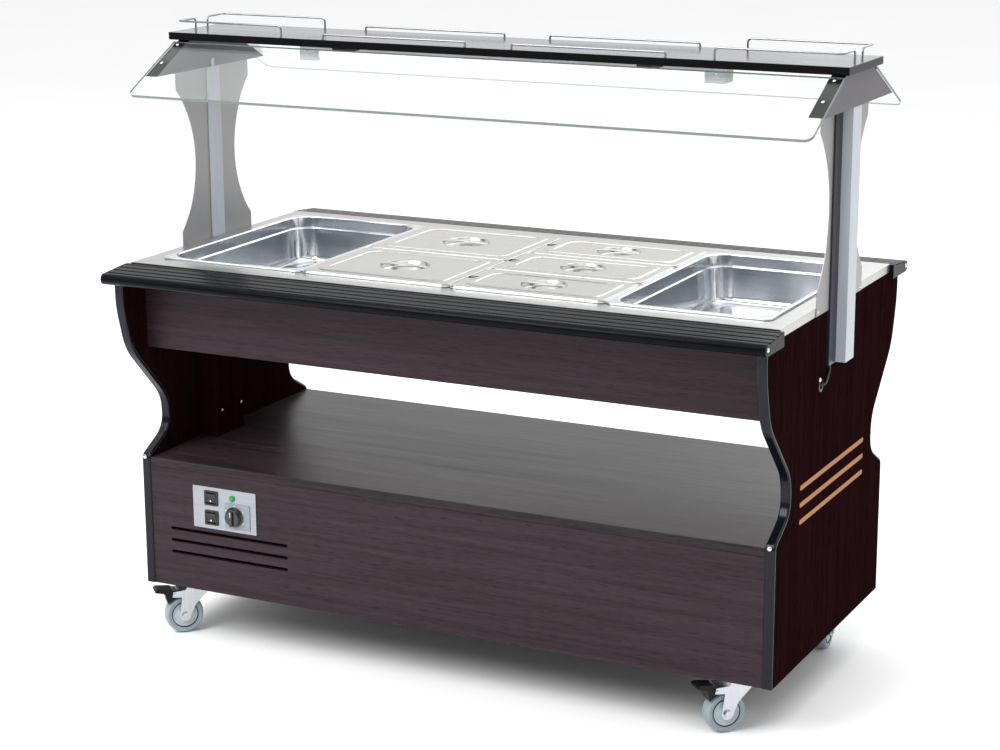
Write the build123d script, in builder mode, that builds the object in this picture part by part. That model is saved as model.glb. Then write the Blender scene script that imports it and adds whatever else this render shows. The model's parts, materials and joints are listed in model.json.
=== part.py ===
from build123d import *

import os
from math import atan2, cos, degrees, radians, sin, tan

# Heated buffet cart for four GN 1/1 places, millimetres.
# +X runs along the cart, guests stand at -Y, +Z is up and the floor is z = 0.

# ---- Driving dimensions -------------------------------------------------------------
BASE_Z = 112  # underside of the base, the overall height of a caster
PANEL_X = 687.5  # outer face of an end panel
PANEL_T = 20  # end panel thickness
BOARD_T = 18  # thickness of aprons, lower panels and deck
FACE_Y = 309  # outer face of the lower panels
APRON_Y = 302  # outer face of the aprons
DECK_Z = BASE_Z + 270  # top of the storage deck
APRON_Z = BASE_Z + 503  # lower edge of the aprons
LEDGE_Z = BASE_Z + 648  # underside of the tray ledges
WORKTOP_Z = BASE_Z + 678  # top of the stainless worktop
WORKTOP_Y = 317.5  # half depth of the worktop
SHEET = 1.2  # stainless sheet
RIM_Z = BASE_Z + 682.6  # top of the pan rims
GN_X = 325  # GN 1/1 width
GN_Y = 530  # GN 1/1 length
PITCH = 326.2  # spacing of the GN places
PAN_DEPTH = 100  # depth of the food pans
SHELF_X = 727.5  # half length of the top shelf
SHELF_Y = 99.5  # half depth of the top shelf
SHELF_T = 15  # shelf thickness
SHELF_Z = BASE_Z + 1114.8  # top of the shelf
GLASS_X = 717  # half length of each glass
GLASS_T = 6  # glass thickness
SLOPE = 27.5  # fall of the glass, degrees
BRACKET_Z = BASE_Z + 1034  # lower edge of the shelf brackets
BRACKET_Y = 202  # half width of a bracket at its lower edge
POST_X = 690.5  # inner face of a post
POST_T = 23  # post thickness along X
POST_Y = 24  # half width of a post
WING_X = 688.8  # inner face of the side wings
WING_T = 1.5  # side wing sheet
CASTER_X = 603  # swivel centres
CASTER_Y = 250
WHEEL_R = 40
TRAIL = 32  # caster trail
GAP = 0.3  # clearance between separate moving bodies

INNER_X = PANEL_X - PANEL_T
SHELF_LOW = SHELF_Z - SHELF_T
WELL_X = 2 * PITCH - 8.4  # half length of the worktop opening
WELL_Y = GN_Y / 2 - 8
TANK_Z = BASE_Z + 560  # underside of the water tank
CONTROL_X = -490.5  # centre of the control plate
CONTROL_Z = BASE_Z + 181.5
HALF_PLACE = -PITCH / 2  # centre of the place with two half pans
THIRD_PLACE = PITCH / 2  # centre of the place with three third pans

os.makedirs("parts", exist_ok=True)


def save(piece, name):
    """Label a finished piece and write its STEP file."""
    piece.part.label = name
    export_step(piece.part, f"parts/{name}.step")


def block(low, high, mode=Mode.ADD):
    """Box between two opposite corners."""
    with Locations(tuple((a + b) / 2 for a, b in zip(low, high))):
        Box(*[b - a for a, b in zip(low, high)], mode=mode)


def span(x, y, z, mode=Mode.ADD):
    """Box from its ranges along X, Y and Z."""
    block((x[0], y[0], z[0]), (x[1], y[1], z[1]), mode=mode)


# ---- End panels ---------------------------------------------------------------------
EDGE_T = 5  # thickness of the edge moulding
FOOT_Y = 307  # half depth of the board at the base
EDGE = [(FOOT_Y, 272.4), (230.8, 315.2), (235.2, 386.2), (351.2, 508.2), (376, 600.4)]
EDGE_R = [12, 50, 75, 115, 195]
GROOVE_Z = [BASE_Z + z for z in (284, 317, 350)]
CABLE_HOLE = (-87, BASE_Z + 523)


def board_edge():
    """Curved edge of an end board as (depth, height), from the foot to the ledge."""
    corners = [(y, BASE_Z + z) for y, z in EDGE]
    FilletPolyline((FOOT_Y, BASE_Z), *corners, (EDGE[-1][0], LEDGE_Z), radius=EDGE_R)


def end_panel(side):
    """End board on one side of the cart, with its three routed grooves."""
    inner = INNER_X if side > 0 else -PANEL_X
    with BuildPart() as board:
        with BuildSketch(Plane.YZ.offset(inner)):
            with BuildLine():
                board_edge()
                top = WORKTOP_Z - SHEET
                Polyline((EDGE[-1][0], LEDGE_Z), (WORKTOP_Y, LEDGE_Z), (WORKTOP_Y, top), (0, top))
                Polyline((0, top), (0, BASE_Z), (FOOT_Y, BASE_Z))
            make_face()
            mirror(about=Plane.YZ)
        extrude(amount=PANEL_T)
        with BuildSketch(Plane.YZ.offset(side * PANEL_X)):
            with Locations(*[(0, z) for z in GROOVE_Z]):
                SlotOverall(368, 8)
        extrude(amount=-4 * side, mode=Mode.SUBTRACT)
        if side > 0:
            with BuildSketch(Plane.YZ.offset(PANEL_X)):
                with Locations(CABLE_HOLE):
                    Circle(8)
            extrude(amount=-PANEL_T, mode=Mode.SUBTRACT)
    return board


def edge_moulding(side, end):
    """T-moulding on one curved edge: a rounded strip carried up the board edge."""
    centre = side * (PANEL_X - PANEL_T / 2)
    with BuildPart() as strip:
        with BuildLine(Plane.YZ.offset(centre)) as path:
            board_edge()
        with BuildSketch(Plane.XY.offset(BASE_Z)):
            with Locations((centre, FOOT_Y + EDGE_T / 2)):
                outer = Rectangle(PANEL_T, EDGE_T)
            fillet(outer.vertices().group_by(Axis.Y)[-1], 4)
        sweep(path=path.wires()[0])
    return strip.part if end > 0 else mirror(strip.part, about=Plane.XZ)


left_end_panel = end_panel(-1)
save(left_end_panel, "left_end_panel")
right_end_panel = end_panel(1)
save(right_end_panel, "right_end_panel")

strips = [edge_moulding(side, end) for side in (-1, 1) for end in (-1, 1)]
with BuildPart() as edge_mouldings:
    add(strips)
save(edge_mouldings, "edge_mouldings")

# ---- Carcase boards -----------------------------------------------------------------
VENT_X = -484
VENT_Z = [BASE_Z + z for z in (75, 100, 125)]
LOW_Z = DECK_Z - BOARD_T  # top of the lower panels, under the deck

with BuildPart() as aprons:
    for sign in (-1, 1):
        y = sorted((sign * APRON_Y, sign * (APRON_Y - BOARD_T)))
        span((-INNER_X, INNER_X), y, (APRON_Z, WORKTOP_Z - SHEET))
save(aprons, "aprons")

with BuildPart() as front_lower_panel:
    span((-INNER_X, INNER_X), (-FACE_Y, BOARD_T - FACE_Y), (BASE_Z, LOW_Z))
    with BuildSketch(Plane.XZ.offset(FACE_Y)):
        with Locations(*[(VENT_X, z) for z in VENT_Z]):
            SlotOverall(280, 7)
        with Locations((CONTROL_X, CONTROL_Z)):
            Rectangle(136, 76)
    extrude(amount=-BOARD_T, mode=Mode.SUBTRACT)
save(front_lower_panel, "front_lower_panel")

INLET = (-560, BASE_Z + 90)  # mains inlet on the service side
with BuildPart() as rear_lower_panel:
    span((-INNER_X, INNER_X), (FACE_Y - BOARD_T, FACE_Y), (BASE_Z, LOW_Z))
    with BuildSketch(Plane.XZ.offset(-FACE_Y)):
        with Locations(INLET):
            Circle(10.2)
    extrude(amount=BOARD_T, mode=Mode.SUBTRACT)
save(rear_lower_panel, "rear_lower_panel")

DUCT_X = (-INNER_X, -627.5)
DUCT_Y = (-117, -17)
DUCT_WALL = 12
SHIELD_Z = APRON_Z + 4  # underside of the heat shield
with BuildPart() as deck_board:
    span((-INNER_X, INNER_X), (-FACE_Y, FACE_Y), (LOW_Z, DECK_Z))
    fillet(deck_board.edges().filter_by(Axis.X), 1.5)
    with Locations((DUCT_X[0] + 14, sum(DUCT_Y) / 2, DECK_Z)):
        Hole(12)
save(deck_board, "deck_board")

with BuildPart() as cable_duct:
    span(DUCT_X, DUCT_Y, (DECK_Z, SHIELD_Z))
    cavity_y = (DUCT_Y[0] + DUCT_WALL, DUCT_Y[1] - DUCT_WALL)
    span((DUCT_X[0], DUCT_X[1] - DUCT_WALL), cavity_y, (DECK_Z, SHIELD_Z), mode=Mode.SUBTRACT)
save(cable_duct, "cable_duct")

BLOCK_Z = BASE_Z + 40
with BuildPart() as caster_blocks:
    for sx in (-1, 1):
        for sy in (-1, 1):
            x = sorted((sx * (CASTER_X - 48), sx * INNER_X))
            y = sorted((sy * (CASTER_Y - 40), sy * (FACE_Y - BOARD_T)))
            span(x, y, (BASE_Z, BLOCK_Z))
save(caster_blocks, "caster_blocks")

# ---- Worktop, tank and heating ------------------------------------------------------
FLANGE_Z = WORKTOP_Z - 16  # lower edge of the side flanges
LIP_Z = WORKTOP_Z - 11  # lower edge of the lip round the opening
TOP_X = PANEL_X + SHEET  # the flanges hang outside the end panels
with BuildPart() as worktop:
    span((-TOP_X, TOP_X), (-WORKTOP_Y, WORKTOP_Y), (WORKTOP_Z - SHEET, WORKTOP_Z))
    for side in (-1, 1):
        x = sorted((side * TOP_X, side * PANEL_X))
        span(x, (-WORKTOP_Y, WORKTOP_Y), (FLANGE_Z, WORKTOP_Z - SHEET))
    with BuildSketch(Plane.XY.offset(LIP_Z)):
        RectangleRounded(2 * WELL_X, 2 * WELL_Y, 12)
    extrude(amount=WORKTOP_Z - LIP_Z)
    with BuildSketch(Plane.XY.offset(LIP_Z)):
        RectangleRounded(2 * (WELL_X - SHEET), 2 * (WELL_Y - SHEET), 12 - SHEET)
    extrude(amount=WORKTOP_Z - LIP_Z, mode=Mode.SUBTRACT)
    long_edges = worktop.edges().filter_by(Axis.Y).group_by(Axis.Z)[-1]
    fillet([long_edges.sort_by(Axis.X)[0], long_edges.sort_by(Axis.X)[-1]], 1)
save(worktop, "worktop")

TANK_X = WELL_X + 6  # outer half length of the tank
TANK_Y = WELL_Y + 5
FLANGE = 12  # tank flange under the worktop
DRAIN = (560, 0)
ELEMENT_X = 600  # reach of the heating element
ELEMENT_Y = 100
ELEMENT_R = 4.5
ELEMENT_Z = TANK_Z + 11
with BuildPart() as well_tank:
    with BuildSketch(Plane.XY.offset(TANK_Z)):
        RectangleRounded(2 * TANK_X, 2 * TANK_Y, 20)
    extrude(amount=WORKTOP_Z - SHEET - TANK_Z)
    with BuildSketch(Plane.XY.offset(WORKTOP_Z - 2 * SHEET)):
        RectangleRounded(2 * (TANK_X + FLANGE), 2 * (TANK_Y + FLANGE), 24)
    extrude(amount=SHEET)
    with BuildSketch(Plane.XY.offset(TANK_Z + SHEET)):
        RectangleRounded(2 * (TANK_X - SHEET), 2 * (TANK_Y - SHEET), 20 - SHEET)
    extrude(amount=WORKTOP_Z - SHEET - TANK_Z - SHEET, mode=Mode.SUBTRACT)
    with Locations((DRAIN[0], DRAIN[1], TANK_Z + SHEET)):
        Hole(10)
    with Locations((ELEMENT_X, -ELEMENT_Y, TANK_Z + SHEET), (ELEMENT_X, ELEMENT_Y, TANK_Z + SHEET)):
        Hole(ELEMENT_R)
save(well_tank, "well_tank")

with BuildPart() as heating_element:
    with BuildLine() as route:
        low = TANK_Z - 24
        FilletPolyline(
            (ELEMENT_X, -ELEMENT_Y, low),
            (ELEMENT_X, -ELEMENT_Y, ELEMENT_Z),
            (-ELEMENT_X, -ELEMENT_Y, ELEMENT_Z),
            (-ELEMENT_X, ELEMENT_Y, ELEMENT_Z),
            (ELEMENT_X, ELEMENT_Y, ELEMENT_Z),
            (ELEMENT_X, ELEMENT_Y, low),
            radius=[9, 60, 60, 9],
        )
    with BuildSketch(Plane.XY.offset(low)):
        with Locations((ELEMENT_X, -ELEMENT_Y)):
            Circle(ELEMENT_R)
    sweep(path=route.wires()[0])
save(heating_element, "heating_element")

with BuildPart() as drain_outlet:
    with Locations((DRAIN[0], DRAIN[1], TANK_Z - 40)):
        Cylinder(10, 40 + SHEET, align=(Align.CENTER, Align.CENTER, Align.MIN))
    with BuildSketch(Plane.XY.offset(TANK_Z - 50)):
        with Locations(DRAIN):
            RegularPolygon(17, 6)
    extrude(amount=20)
    with BuildSketch(Plane.XY.offset(TANK_Z - 4)):
        with Locations(DRAIN):
            Circle(16)
    extrude(amount=4)
save(drain_outlet, "drain_outlet")

with BuildPart() as heat_shield:
    span((-INNER_X, INNER_X), (BOARD_T - APRON_Y, APRON_Y - BOARD_T), (SHIELD_Z, SHIELD_Z + SHEET))
    with Locations((DRAIN[0], DRAIN[1], SHIELD_Z + SHEET)):
        Hole(22)
    with Locations((DUCT_X[0] + 14, sum(DUCT_Y) / 2, SHIELD_Z + SHEET)):
        Hole(12)
save(heat_shield, "heat_shield")

BAR_W = 14  # width of a support bar
BAR_LOW = WORKTOP_Z - 10
with BuildPart() as pan_bars:
    bar_y = WELL_Y - SHEET
    bar_x = PITCH - BAR_W / 2
    for x in (-PITCH, 0, PITCH):
        span((x - BAR_W / 2, x + BAR_W / 2), (-bar_y, bar_y), (BAR_LOW, WORKTOP_Z))
    span((-bar_x, -BAR_W / 2), (-BAR_W / 2, BAR_W / 2), (BAR_LOW, WORKTOP_Z))
    for y in (-GN_Y / 6, GN_Y / 6):
        span((BAR_W / 2, bar_x), (y - BAR_W / 2, y + BAR_W / 2), (BAR_LOW, WORKTOP_Z))
save(pan_bars, "pan_bars")

# ---- Food pans and lids -------------------------------------------------------------
WALL = 1.2  # pan sheet, as drawn
RIM_W = 11  # width of the rim all round
RIM_DROP = RIM_Z - WORKTOP_Z - GAP  # height of the turned-down rim edge
STEP_Z = 24  # depth of the stacking step
RIM_GAP = 0.8  # play between neighbouring rims


def gn_pan(x, y, length):
    """Pressed pan with a turned-down rim, stacking step and rounded floor."""
    wide, long = GN_X, length - RIM_GAP
    with BuildPart() as pan:
        with BuildSketch(Plane.XY.offset(RIM_Z)):
            with Locations((x, y)):
                RectangleRounded(wide, long, 14)
        extrude(amount=-RIM_DROP)
        with BuildSketch(Plane.XY.offset(RIM_Z - RIM_DROP)):
            with Locations((x, y)):
                RectangleRounded(wide - 2 * WALL, long - 2 * WALL, 14 - WALL)
        extrude(amount=RIM_DROP - WALL, mode=Mode.SUBTRACT)
        for inset, mode in ((0, Mode.ADD), (WALL, Mode.SUBTRACT)):
            with BuildSketch(Plane.XY.offset(RIM_Z)):
                with Locations((x, y)):
                    RectangleRounded(wide - 2 * (RIM_W + inset), long - 2 * (RIM_W + inset), 34 - inset)
            extrude(amount=inset - STEP_Z, mode=mode)
            with BuildSketch(Plane.XY.offset(RIM_Z - STEP_Z + inset)):
                with Locations((x, y)):
                    trim = 2 * (RIM_W + 4 + inset)
                    RectangleRounded(wide - trim, long - trim, 30 - inset)
            with BuildSketch(Plane.XY.offset(RIM_Z - PAN_DEPTH + inset)):
                with Locations((x, y)):
                    trim = 2 * (RIM_W + 10 + inset)
                    RectangleRounded(wide - trim, long - trim, 24 - inset)
            loft(mode=mode)
        for z in (RIM_Z - PAN_DEPTH, RIM_Z - PAN_DEPTH + WALL):
            floor_edges = pan.edges().filter_by_position(Axis.Z, z - 0.01, z + 0.01)
            fillet(floor_edges, 14 if z == RIM_Z - PAN_DEPTH else 14 - WALL)
    return pan


LID_Z = RIM_Z + GAP  # underside of the lids
LID_T = 1
BEAD = 3.2  # height of the pressed bead
GRIP_R = 50  # recess round the grip of a half lid
SMALL_GRIP_R = 45
GRIP_DEEP = 12


def gn_lid(x, y, length, grip, notch):
    """Flat lid with a pressed bead, a sunken round recess and a bar grip across it."""
    wide, long = GN_X - 2, length - 2.8
    with BuildPart() as lid:
        with BuildSketch(Plane.XY.offset(LID_Z)):
            with Locations((x, y)):
                RectangleRounded(wide, long, 14)
        extrude(amount=LID_T)
        for top, inset, mode in ((LID_Z + BEAD, 20, Mode.ADD), (LID_Z + BEAD - LID_T, 21, Mode.SUBTRACT)):
            with BuildSketch(Plane.XY.offset(LID_Z)):
                with Locations((x, y)):
                    RectangleRounded(wide - 2 * inset, long - 2 * inset, 30 - inset / 4)
                    trim = 2 * (56 - inset)
                    RectangleRounded(wide - trim, long - trim, 18, mode=Mode.SUBTRACT)
            extrude(amount=top - LID_Z, taper=25 if mode == Mode.ADD else 20, mode=mode)
        with BuildSketch(Plane.XY.offset(LID_Z + LID_T)):
            with Locations((x, y)):
                Circle(grip)
        extrude(amount=-GRIP_DEEP - LID_T, taper=20)
        with BuildSketch(Plane.XY.offset(LID_Z + LID_T)):
            with Locations((x, y)):
                Circle(grip - LID_T)
        extrude(amount=-GRIP_DEEP, taper=20, mode=Mode.SUBTRACT)
        with BuildSketch(Plane.XY.offset(LID_Z)):
            with Locations((x, y)):
                Rectangle(2 * grip, 22)
        extrude(amount=LID_T + 2)
        if notch:
            with BuildSketch(Plane.XY.offset(LID_Z)):
                with Locations((x - wide / 2 + 13, y)):
                    SlotOverall(30, 12)
            extrude(amount=BEAD + LID_T, mode=Mode.SUBTRACT)
    return lid


save(gn_pan(-1.5 * PITCH, 0, GN_Y), "left_pan")
save(gn_pan(1.5 * PITCH, 0, GN_Y), "right_pan")
for name, y in (("front_half", -GN_Y / 4), ("rear_half", GN_Y / 4)):
    save(gn_pan(HALF_PLACE, y, GN_Y / 2), f"{name}_pan")
    save(gn_lid(HALF_PLACE, y, GN_Y / 2, GRIP_R, notch=False), f"{name}_lid")
for name, y in (("front_third", -GN_Y / 3), ("middle_third", 0), ("rear_third", GN_Y / 3)):
    save(gn_pan(THIRD_PLACE, y, GN_Y / 3), f"{name}_pan")
    save(gn_lid(THIRD_PLACE, y, GN_Y / 3, SMALL_GRIP_R, notch=True), f"{name}_lid")

# ---- Tray ledges --------------------------------------------------------------------
LEDGE_X = 696.5
LEDGE_IN = WORKTOP_Y + GAP
NOSE_Y = 401  # centre of the bull nose
NOSE_R = 11
with BuildPart() as tray_ledges:
    with BuildSketch(Plane.YZ.offset(-LEDGE_X)):
        with BuildLine():
            back = LEDGE_IN + 14
            Polyline((NOSE_Y, LEDGE_Z), (LEDGE_IN, LEDGE_Z), (LEDGE_IN, WORKTOP_Z - 2))
            Polyline((LEDGE_IN, WORKTOP_Z - 2), (back, WORKTOP_Z - 2), (NOSE_Y, LEDGE_Z + 2 * NOSE_R))
            nose = (NOSE_Y + NOSE_R, LEDGE_Z + NOSE_R)
            ThreePointArc((NOSE_Y, LEDGE_Z + 2 * NOSE_R), nose, (NOSE_Y, LEDGE_Z))
        make_face()
        with Locations(*[(back + 8 + 15 * i, WORKTOP_Z - 3.2 - 1.6 * i) for i in range(4)]):
            Rectangle(3, 3, mode=Mode.SUBTRACT)
        mirror(about=Plane.YZ)
    extrude(amount=2 * LEDGE_X)
save(tray_ledges, "tray_ledges")

# ---- Posts, wings and brackets ------------------------------------------------------
POST_LOW = BASE_Z + 555
CAP = 3
TONGUE_Z = BRACKET_Z + 16
FOLD = 1.5  # bracket sheet
BRACKET_X = 688.5  # inner face of a bracket
BRACKET_OUT = POST_X + POST_T + 2
RISE = tan(radians(SLOPE))
BRACKET_TOP_Y = BRACKET_Y - (SHELF_LOW - BRACKET_Z) / RISE
WAIST_Z = BASE_Z + 853


def sided(side, near, far):
    """Range along X on one side of the cart."""
    return sorted((side * near, side * far))


with BuildPart() as posts:
    for side in (-1, 1):
        out = POST_X + POST_T
        span(sided(side, POST_X, out), (-POST_Y, POST_Y), (POST_LOW, SHELF_LOW - FOLD))
        hollow = sided(side, POST_X + 2, out - 2)
        span(hollow, (2 - POST_Y, POST_Y - 2), (POST_LOW + CAP, SHELF_LOW - FOLD), mode=Mode.SUBTRACT)
        span(sided(side, PANEL_X + 0.1, POST_X), (-POST_Y, POST_Y), (POST_LOW, FLANGE_Z - 0.5))
        span(sided(side, PANEL_X - 0.7, POST_X), (-POST_Y, POST_Y), (WORKTOP_Z + 0.2, BRACKET_Z - 0.2))
        span(sided(side, PANEL_X - 0.7, BRACKET_X - 0.1), (-5, 5), (BRACKET_Z - 0.2, TONGUE_Z))
save(posts, "posts")

with BuildPart() as side_wings:
    for side in (-1, 1):
        near = WING_X if side > 0 else -WING_X - WING_T
        with BuildSketch(Plane.YZ.offset(near)):
            with BuildLine():
                inner_y = POST_Y + 0.1
                Polyline((131, BASE_Z + 707), (131, FLANGE_Z), (inner_y, FLANGE_Z), (inner_y, BRACKET_Z))
                Polyline((inner_y, BRACKET_Z), (135.5, BRACKET_Z), (135.5, BASE_Z + 1000))
                ThreePointArc((135.5, BASE_Z + 1000), (73.5, WAIST_Z), (131, BASE_Z + 707))
            make_face()
            mirror(about=Plane.YZ)
        extrude(amount=WING_T)
save(side_wings, "side_wings")

with BuildPart() as cable_cover:
    span((POST_X, POST_X + 4), (-62, -POST_Y - 0.1), (POST_LOW, BRACKET_Z))
    span((PANEL_X + 0.1, POST_X), (-62, -POST_Y - 0.1), (POST_LOW, FLANGE_Z - 0.5))
    fillet(cable_cover.edges().filter_by(Axis.Z).group_by(Axis.X)[-1], 1.5)
    with BuildSketch(Plane.YZ.offset(PANEL_X)):
        with Locations(CABLE_HOLE):
            Circle(12)
            Circle(8, mode=Mode.SUBTRACT)
    extrude(amount=1.5)
save(cable_cover, "cable_cover")

with BuildPart() as shelf_brackets:
    for side in (-1, 1):
        near = BRACKET_X if side > 0 else -BRACKET_OUT
        with BuildSketch(Plane.YZ.offset(near)):
            Polygon(
                (-BRACKET_Y, BRACKET_Z),
                (BRACKET_Y, BRACKET_Z),
                (BRACKET_TOP_Y, SHELF_LOW),
                (-BRACKET_TOP_Y, SHELF_LOW),
                align=None,
            )
        extrude(amount=BRACKET_OUT - BRACKET_X)
        drop = FOLD / cos(radians(SLOPE))
        inside_y = BRACKET_TOP_Y + (FOLD - drop) / RISE
        low_y = BRACKET_Y - drop / RISE
        with BuildSketch(Plane.YZ.offset(near + FOLD)):
            Polygon(
                (-low_y, BRACKET_Z),
                (low_y, BRACKET_Z),
                (inside_y, SHELF_LOW - FOLD),
                (-inside_y, SHELF_LOW - FOLD),
                align=None,
            )
        extrude(amount=BRACKET_OUT - BRACKET_X - 2 * FOLD, mode=Mode.SUBTRACT)
save(shelf_brackets, "shelf_brackets")

# ---- Glass, shelf and rails ---------------------------------------------------------
GLASS_TOP_Y = 93
GLASS_LOW_Y = 264
GLASS_LONG = (GLASS_LOW_Y - GLASS_TOP_Y) / cos(radians(SLOPE))


def glass_plane(sign):
    """Plane of the underside of a glass, its Y running up the slope."""
    middle_y = (GLASS_TOP_Y + GLASS_LOW_Y) / 2
    middle_z = BRACKET_Z + (BRACKET_Y - middle_y) * RISE
    lean = radians(SLOPE)
    return Plane(origin=(0, sign * middle_y, middle_z), x_dir=(-sign, 0, 0), z_dir=(0, sign * sin(lean), cos(lean)))


for name, sign in (("front_glass", -1), ("rear_glass", 1)):
    with BuildPart() as glass:
        with BuildSketch(glass_plane(sign)) as pane:
            Rectangle(2 * GLASS_X, GLASS_LONG)
            fillet(pane.vertices().group_by(Axis.Y)[0], 16)
        extrude(amount=GLASS_T)
        chamfer(glass.edges().group_by(Edge.length)[-1], 0.8)
    save(glass, name)

with BuildPart() as shelf_board:
    span((-SHELF_X, SHELF_X), (-SHELF_Y, SHELF_Y), (SHELF_LOW, SHELF_Z))
    chamfer(shelf_board.edges(), 0.8)
save(shelf_board, "shelf_board")

WIRE_R = 2
RAIL_Y = 86


def rail(points, radius):
    """Wire rail standing on the shelf, bent through the given points."""
    with BuildPart() as wire:
        with BuildLine() as path:
            FilletPolyline(*points, radius=radius)
        with BuildSketch(Plane.XY.offset(SHELF_Z)):
            with Locations(points[0][:2]):
                Circle(WIRE_R)
        sweep(path=path.wires()[0])
    return wire.part


tall_wires = []
low_wires = []
for sx in (-1, 1):
    for sy in (-1, 1):
        high = SHELF_Z + 22
        foot, corner, back = (sx * 465, sy * RAIL_Y), (sx * 712, sy * RAIL_Y), (sx * 712, sy * 22)
        points = [(*foot, SHELF_Z), (*foot, high), (*corner, high), (*back, high), (*back, SHELF_Z)]
        tall_wires.append(rail(points, 8))
        high = SHELF_Z + 9
        near, far = (sx * 50, sy * RAIL_Y), (sx * 368, sy * RAIL_Y)
        points = [(*near, SHELF_Z), (*near, high), (*far, high), (*far, SHELF_Z)]
        low_wires.append(rail(points, 4))
for name, wires in (("corner_rails", tall_wires), ("straight_rails", low_wires)):
    with BuildPart() as rails:
        add(wires)
    save(rails, name)

# ---- Lamp ---------------------------------------------------------------------------
LAMP_X = 462
LAMP_END = 42  # length of each end block
LAMP_Y = 20
LAMP_Z = BASE_Z + 1060  # underside of the lamp
TRAY_Z = SHELF_LOW - 16  # underside of the housing between the end blocks
with BuildPart() as lamp_housing:
    span((-LAMP_X, LAMP_X), (-LAMP_Y, LAMP_Y), (TRAY_Z, SHELF_LOW))
    for side in (-1, 1):
        span(sided(side, LAMP_X - LAMP_END, LAMP_X), (-LAMP_Y, LAMP_Y), (LAMP_Z, SHELF_LOW))
save(lamp_housing, "lamp_housing")

with BuildPart() as lamp_diffuser:
    tube_x = LAMP_X - LAMP_END
    with BuildSketch(Plane.YZ.offset(-tube_x)):
        with BuildLine():
            Polyline((-15, LAMP_Z + 9), (-15, TRAY_Z), (15, TRAY_Z), (15, LAMP_Z + 9))
            ThreePointArc((15, LAMP_Z + 9), (0, LAMP_Z + 1), (-15, LAMP_Z + 9))
        make_face()
    extrude(amount=2 * tube_x)
save(lamp_diffuser, "lamp_diffuser")

CLIP_X = (312.5, 343.5)
with BuildPart() as glass_clips:
    for sx in (-1, 1):
        for sy in (-1, 1):
            span(sided(sx, *CLIP_X), sorted((sy * 36, sy * (GLASS_TOP_Y - 0.5))), (SHELF_LOW - 9, SHELF_LOW))
save(glass_clips, "glass_clips")

# ---- Lamp cable and screws ----------------------------------------------------
CABLE_R = 2.5
CABLE_X = PANEL_X + 3.5
CABLE_ROUTE = [
    (CABLE_X, -48, POST_LOW),
    (CABLE_X, -48, POST_LOW - 12),
    (CABLE_X + 0.5, -60, POST_LOW - 25),
    (CABLE_X + 2, -79, POST_LOW - 31),
    (CABLE_X - 3, -87.5, POST_LOW - 32),
    (CABLE_X - 15, -87.5, POST_LOW - 32),
]
runs = [Vector(b) - Vector(a) for a, b in zip(CABLE_ROUTE, CABLE_ROUTE[1:])]
bends = [0.45 * min(a.length, b.length) / tan(radians(a.get_angle(b)) / 2) for a, b in zip(runs, runs[1:])]
print("lamp cable bend radii, mm:", [round(bend, 1) for bend in bends])
with BuildPart() as light_cable:
    with BuildLine() as route:
        FilletPolyline(*CABLE_ROUTE, radius=bends)
    with BuildSketch(Plane.XY.offset(POST_LOW)):
        with Locations(CABLE_ROUTE[0][:2]):
            Circle(CABLE_R)
    sweep(path=route.wires()[0])
save(light_cable, "light_cable")


def screw(place, direction, radius=3.5, height=2):
    """Domed screw head standing on a surface."""
    with BuildPart() as head:
        with BuildSketch(Plane(origin=place, z_dir=direction)):
            Circle(radius)
        extrude(amount=height)
        fillet(head.faces().sort_by(Axis(place, direction))[-1].edges(), height * 0.6)
    return head.part


glass_screws = []
side_screws = []
lamp_screws = []
for sx in (-1, 1):
    for sy in (-1, 1):
        for y in (103, 162):
            out = (0, sy * sin(radians(SLOPE)), cos(radians(SLOPE)))
            z = BRACKET_Z + (BRACKET_Y - y) * RISE
            glass_screws.append(screw((sx * 702, sy * y + GLASS_T * out[1], z + GLASS_T * out[2]), out))
        side_screws.append(screw((sx * (WING_X + WING_T), sy * 121, WORKTOP_Z - 8), (sx, 0, 0)))
        lamp_end = (sx * (LAMP_X - 20), sy * LAMP_Y, (LAMP_Z + SHELF_LOW) / 2)
        lamp_screws.append(screw(lamp_end, (0, sy, 0), radius=3, height=1.6))
    for z in (POST_LOW + 16, POST_LOW + 78):
        side_screws.append(screw((sx * (POST_X + POST_T), 0, z), (sx, 0, 0)))
duct_screws = [screw((DUCT_X[1], y, BASE_Z + 324), (1, 0, 0)) for y in (DUCT_Y[0] + 16, DUCT_Y[1] - 10)]
with BuildPart() as frame_screws:
    add(glass_screws + side_screws + lamp_screws + duct_screws)
save(frame_screws, "frame_screws")

# ---- Controls -----------------------------------------------------------------------
PLATE_Y = -FACE_Y - 1.5  # front of the control plate
SWITCH_X = CONTROL_X - 31
SWITCH_Z = (CONTROL_Z + 21, CONTROL_Z - 20.5)
KNOB = (CONTROL_X + 25, CONTROL_Z - 11)
PILOT = (CONTROL_X + 19, CONTROL_Z + 26)
ROCKER_R = 11.5
ROCKER_W = 22
PIVOT_Y = PLATE_Y - 2 + 7  # rocker pivot behind the bezel
with BuildPart() as control_plate:
    with BuildSketch(Plane.XZ.offset(FACE_Y)):
        with Locations((CONTROL_X, CONTROL_Z)):
            RectangleRounded(150, 88, 2)
        with Locations(*[(SWITCH_X, z) for z in SWITCH_Z]):
            Rectangle(27, 26, mode=Mode.SUBTRACT)
        with Locations(KNOB):
            Circle(5, mode=Mode.SUBTRACT)
        with Locations(PILOT):
            Circle(5, mode=Mode.SUBTRACT)
    extrude(amount=1.5)
save(control_plate, "control_plate")

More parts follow.
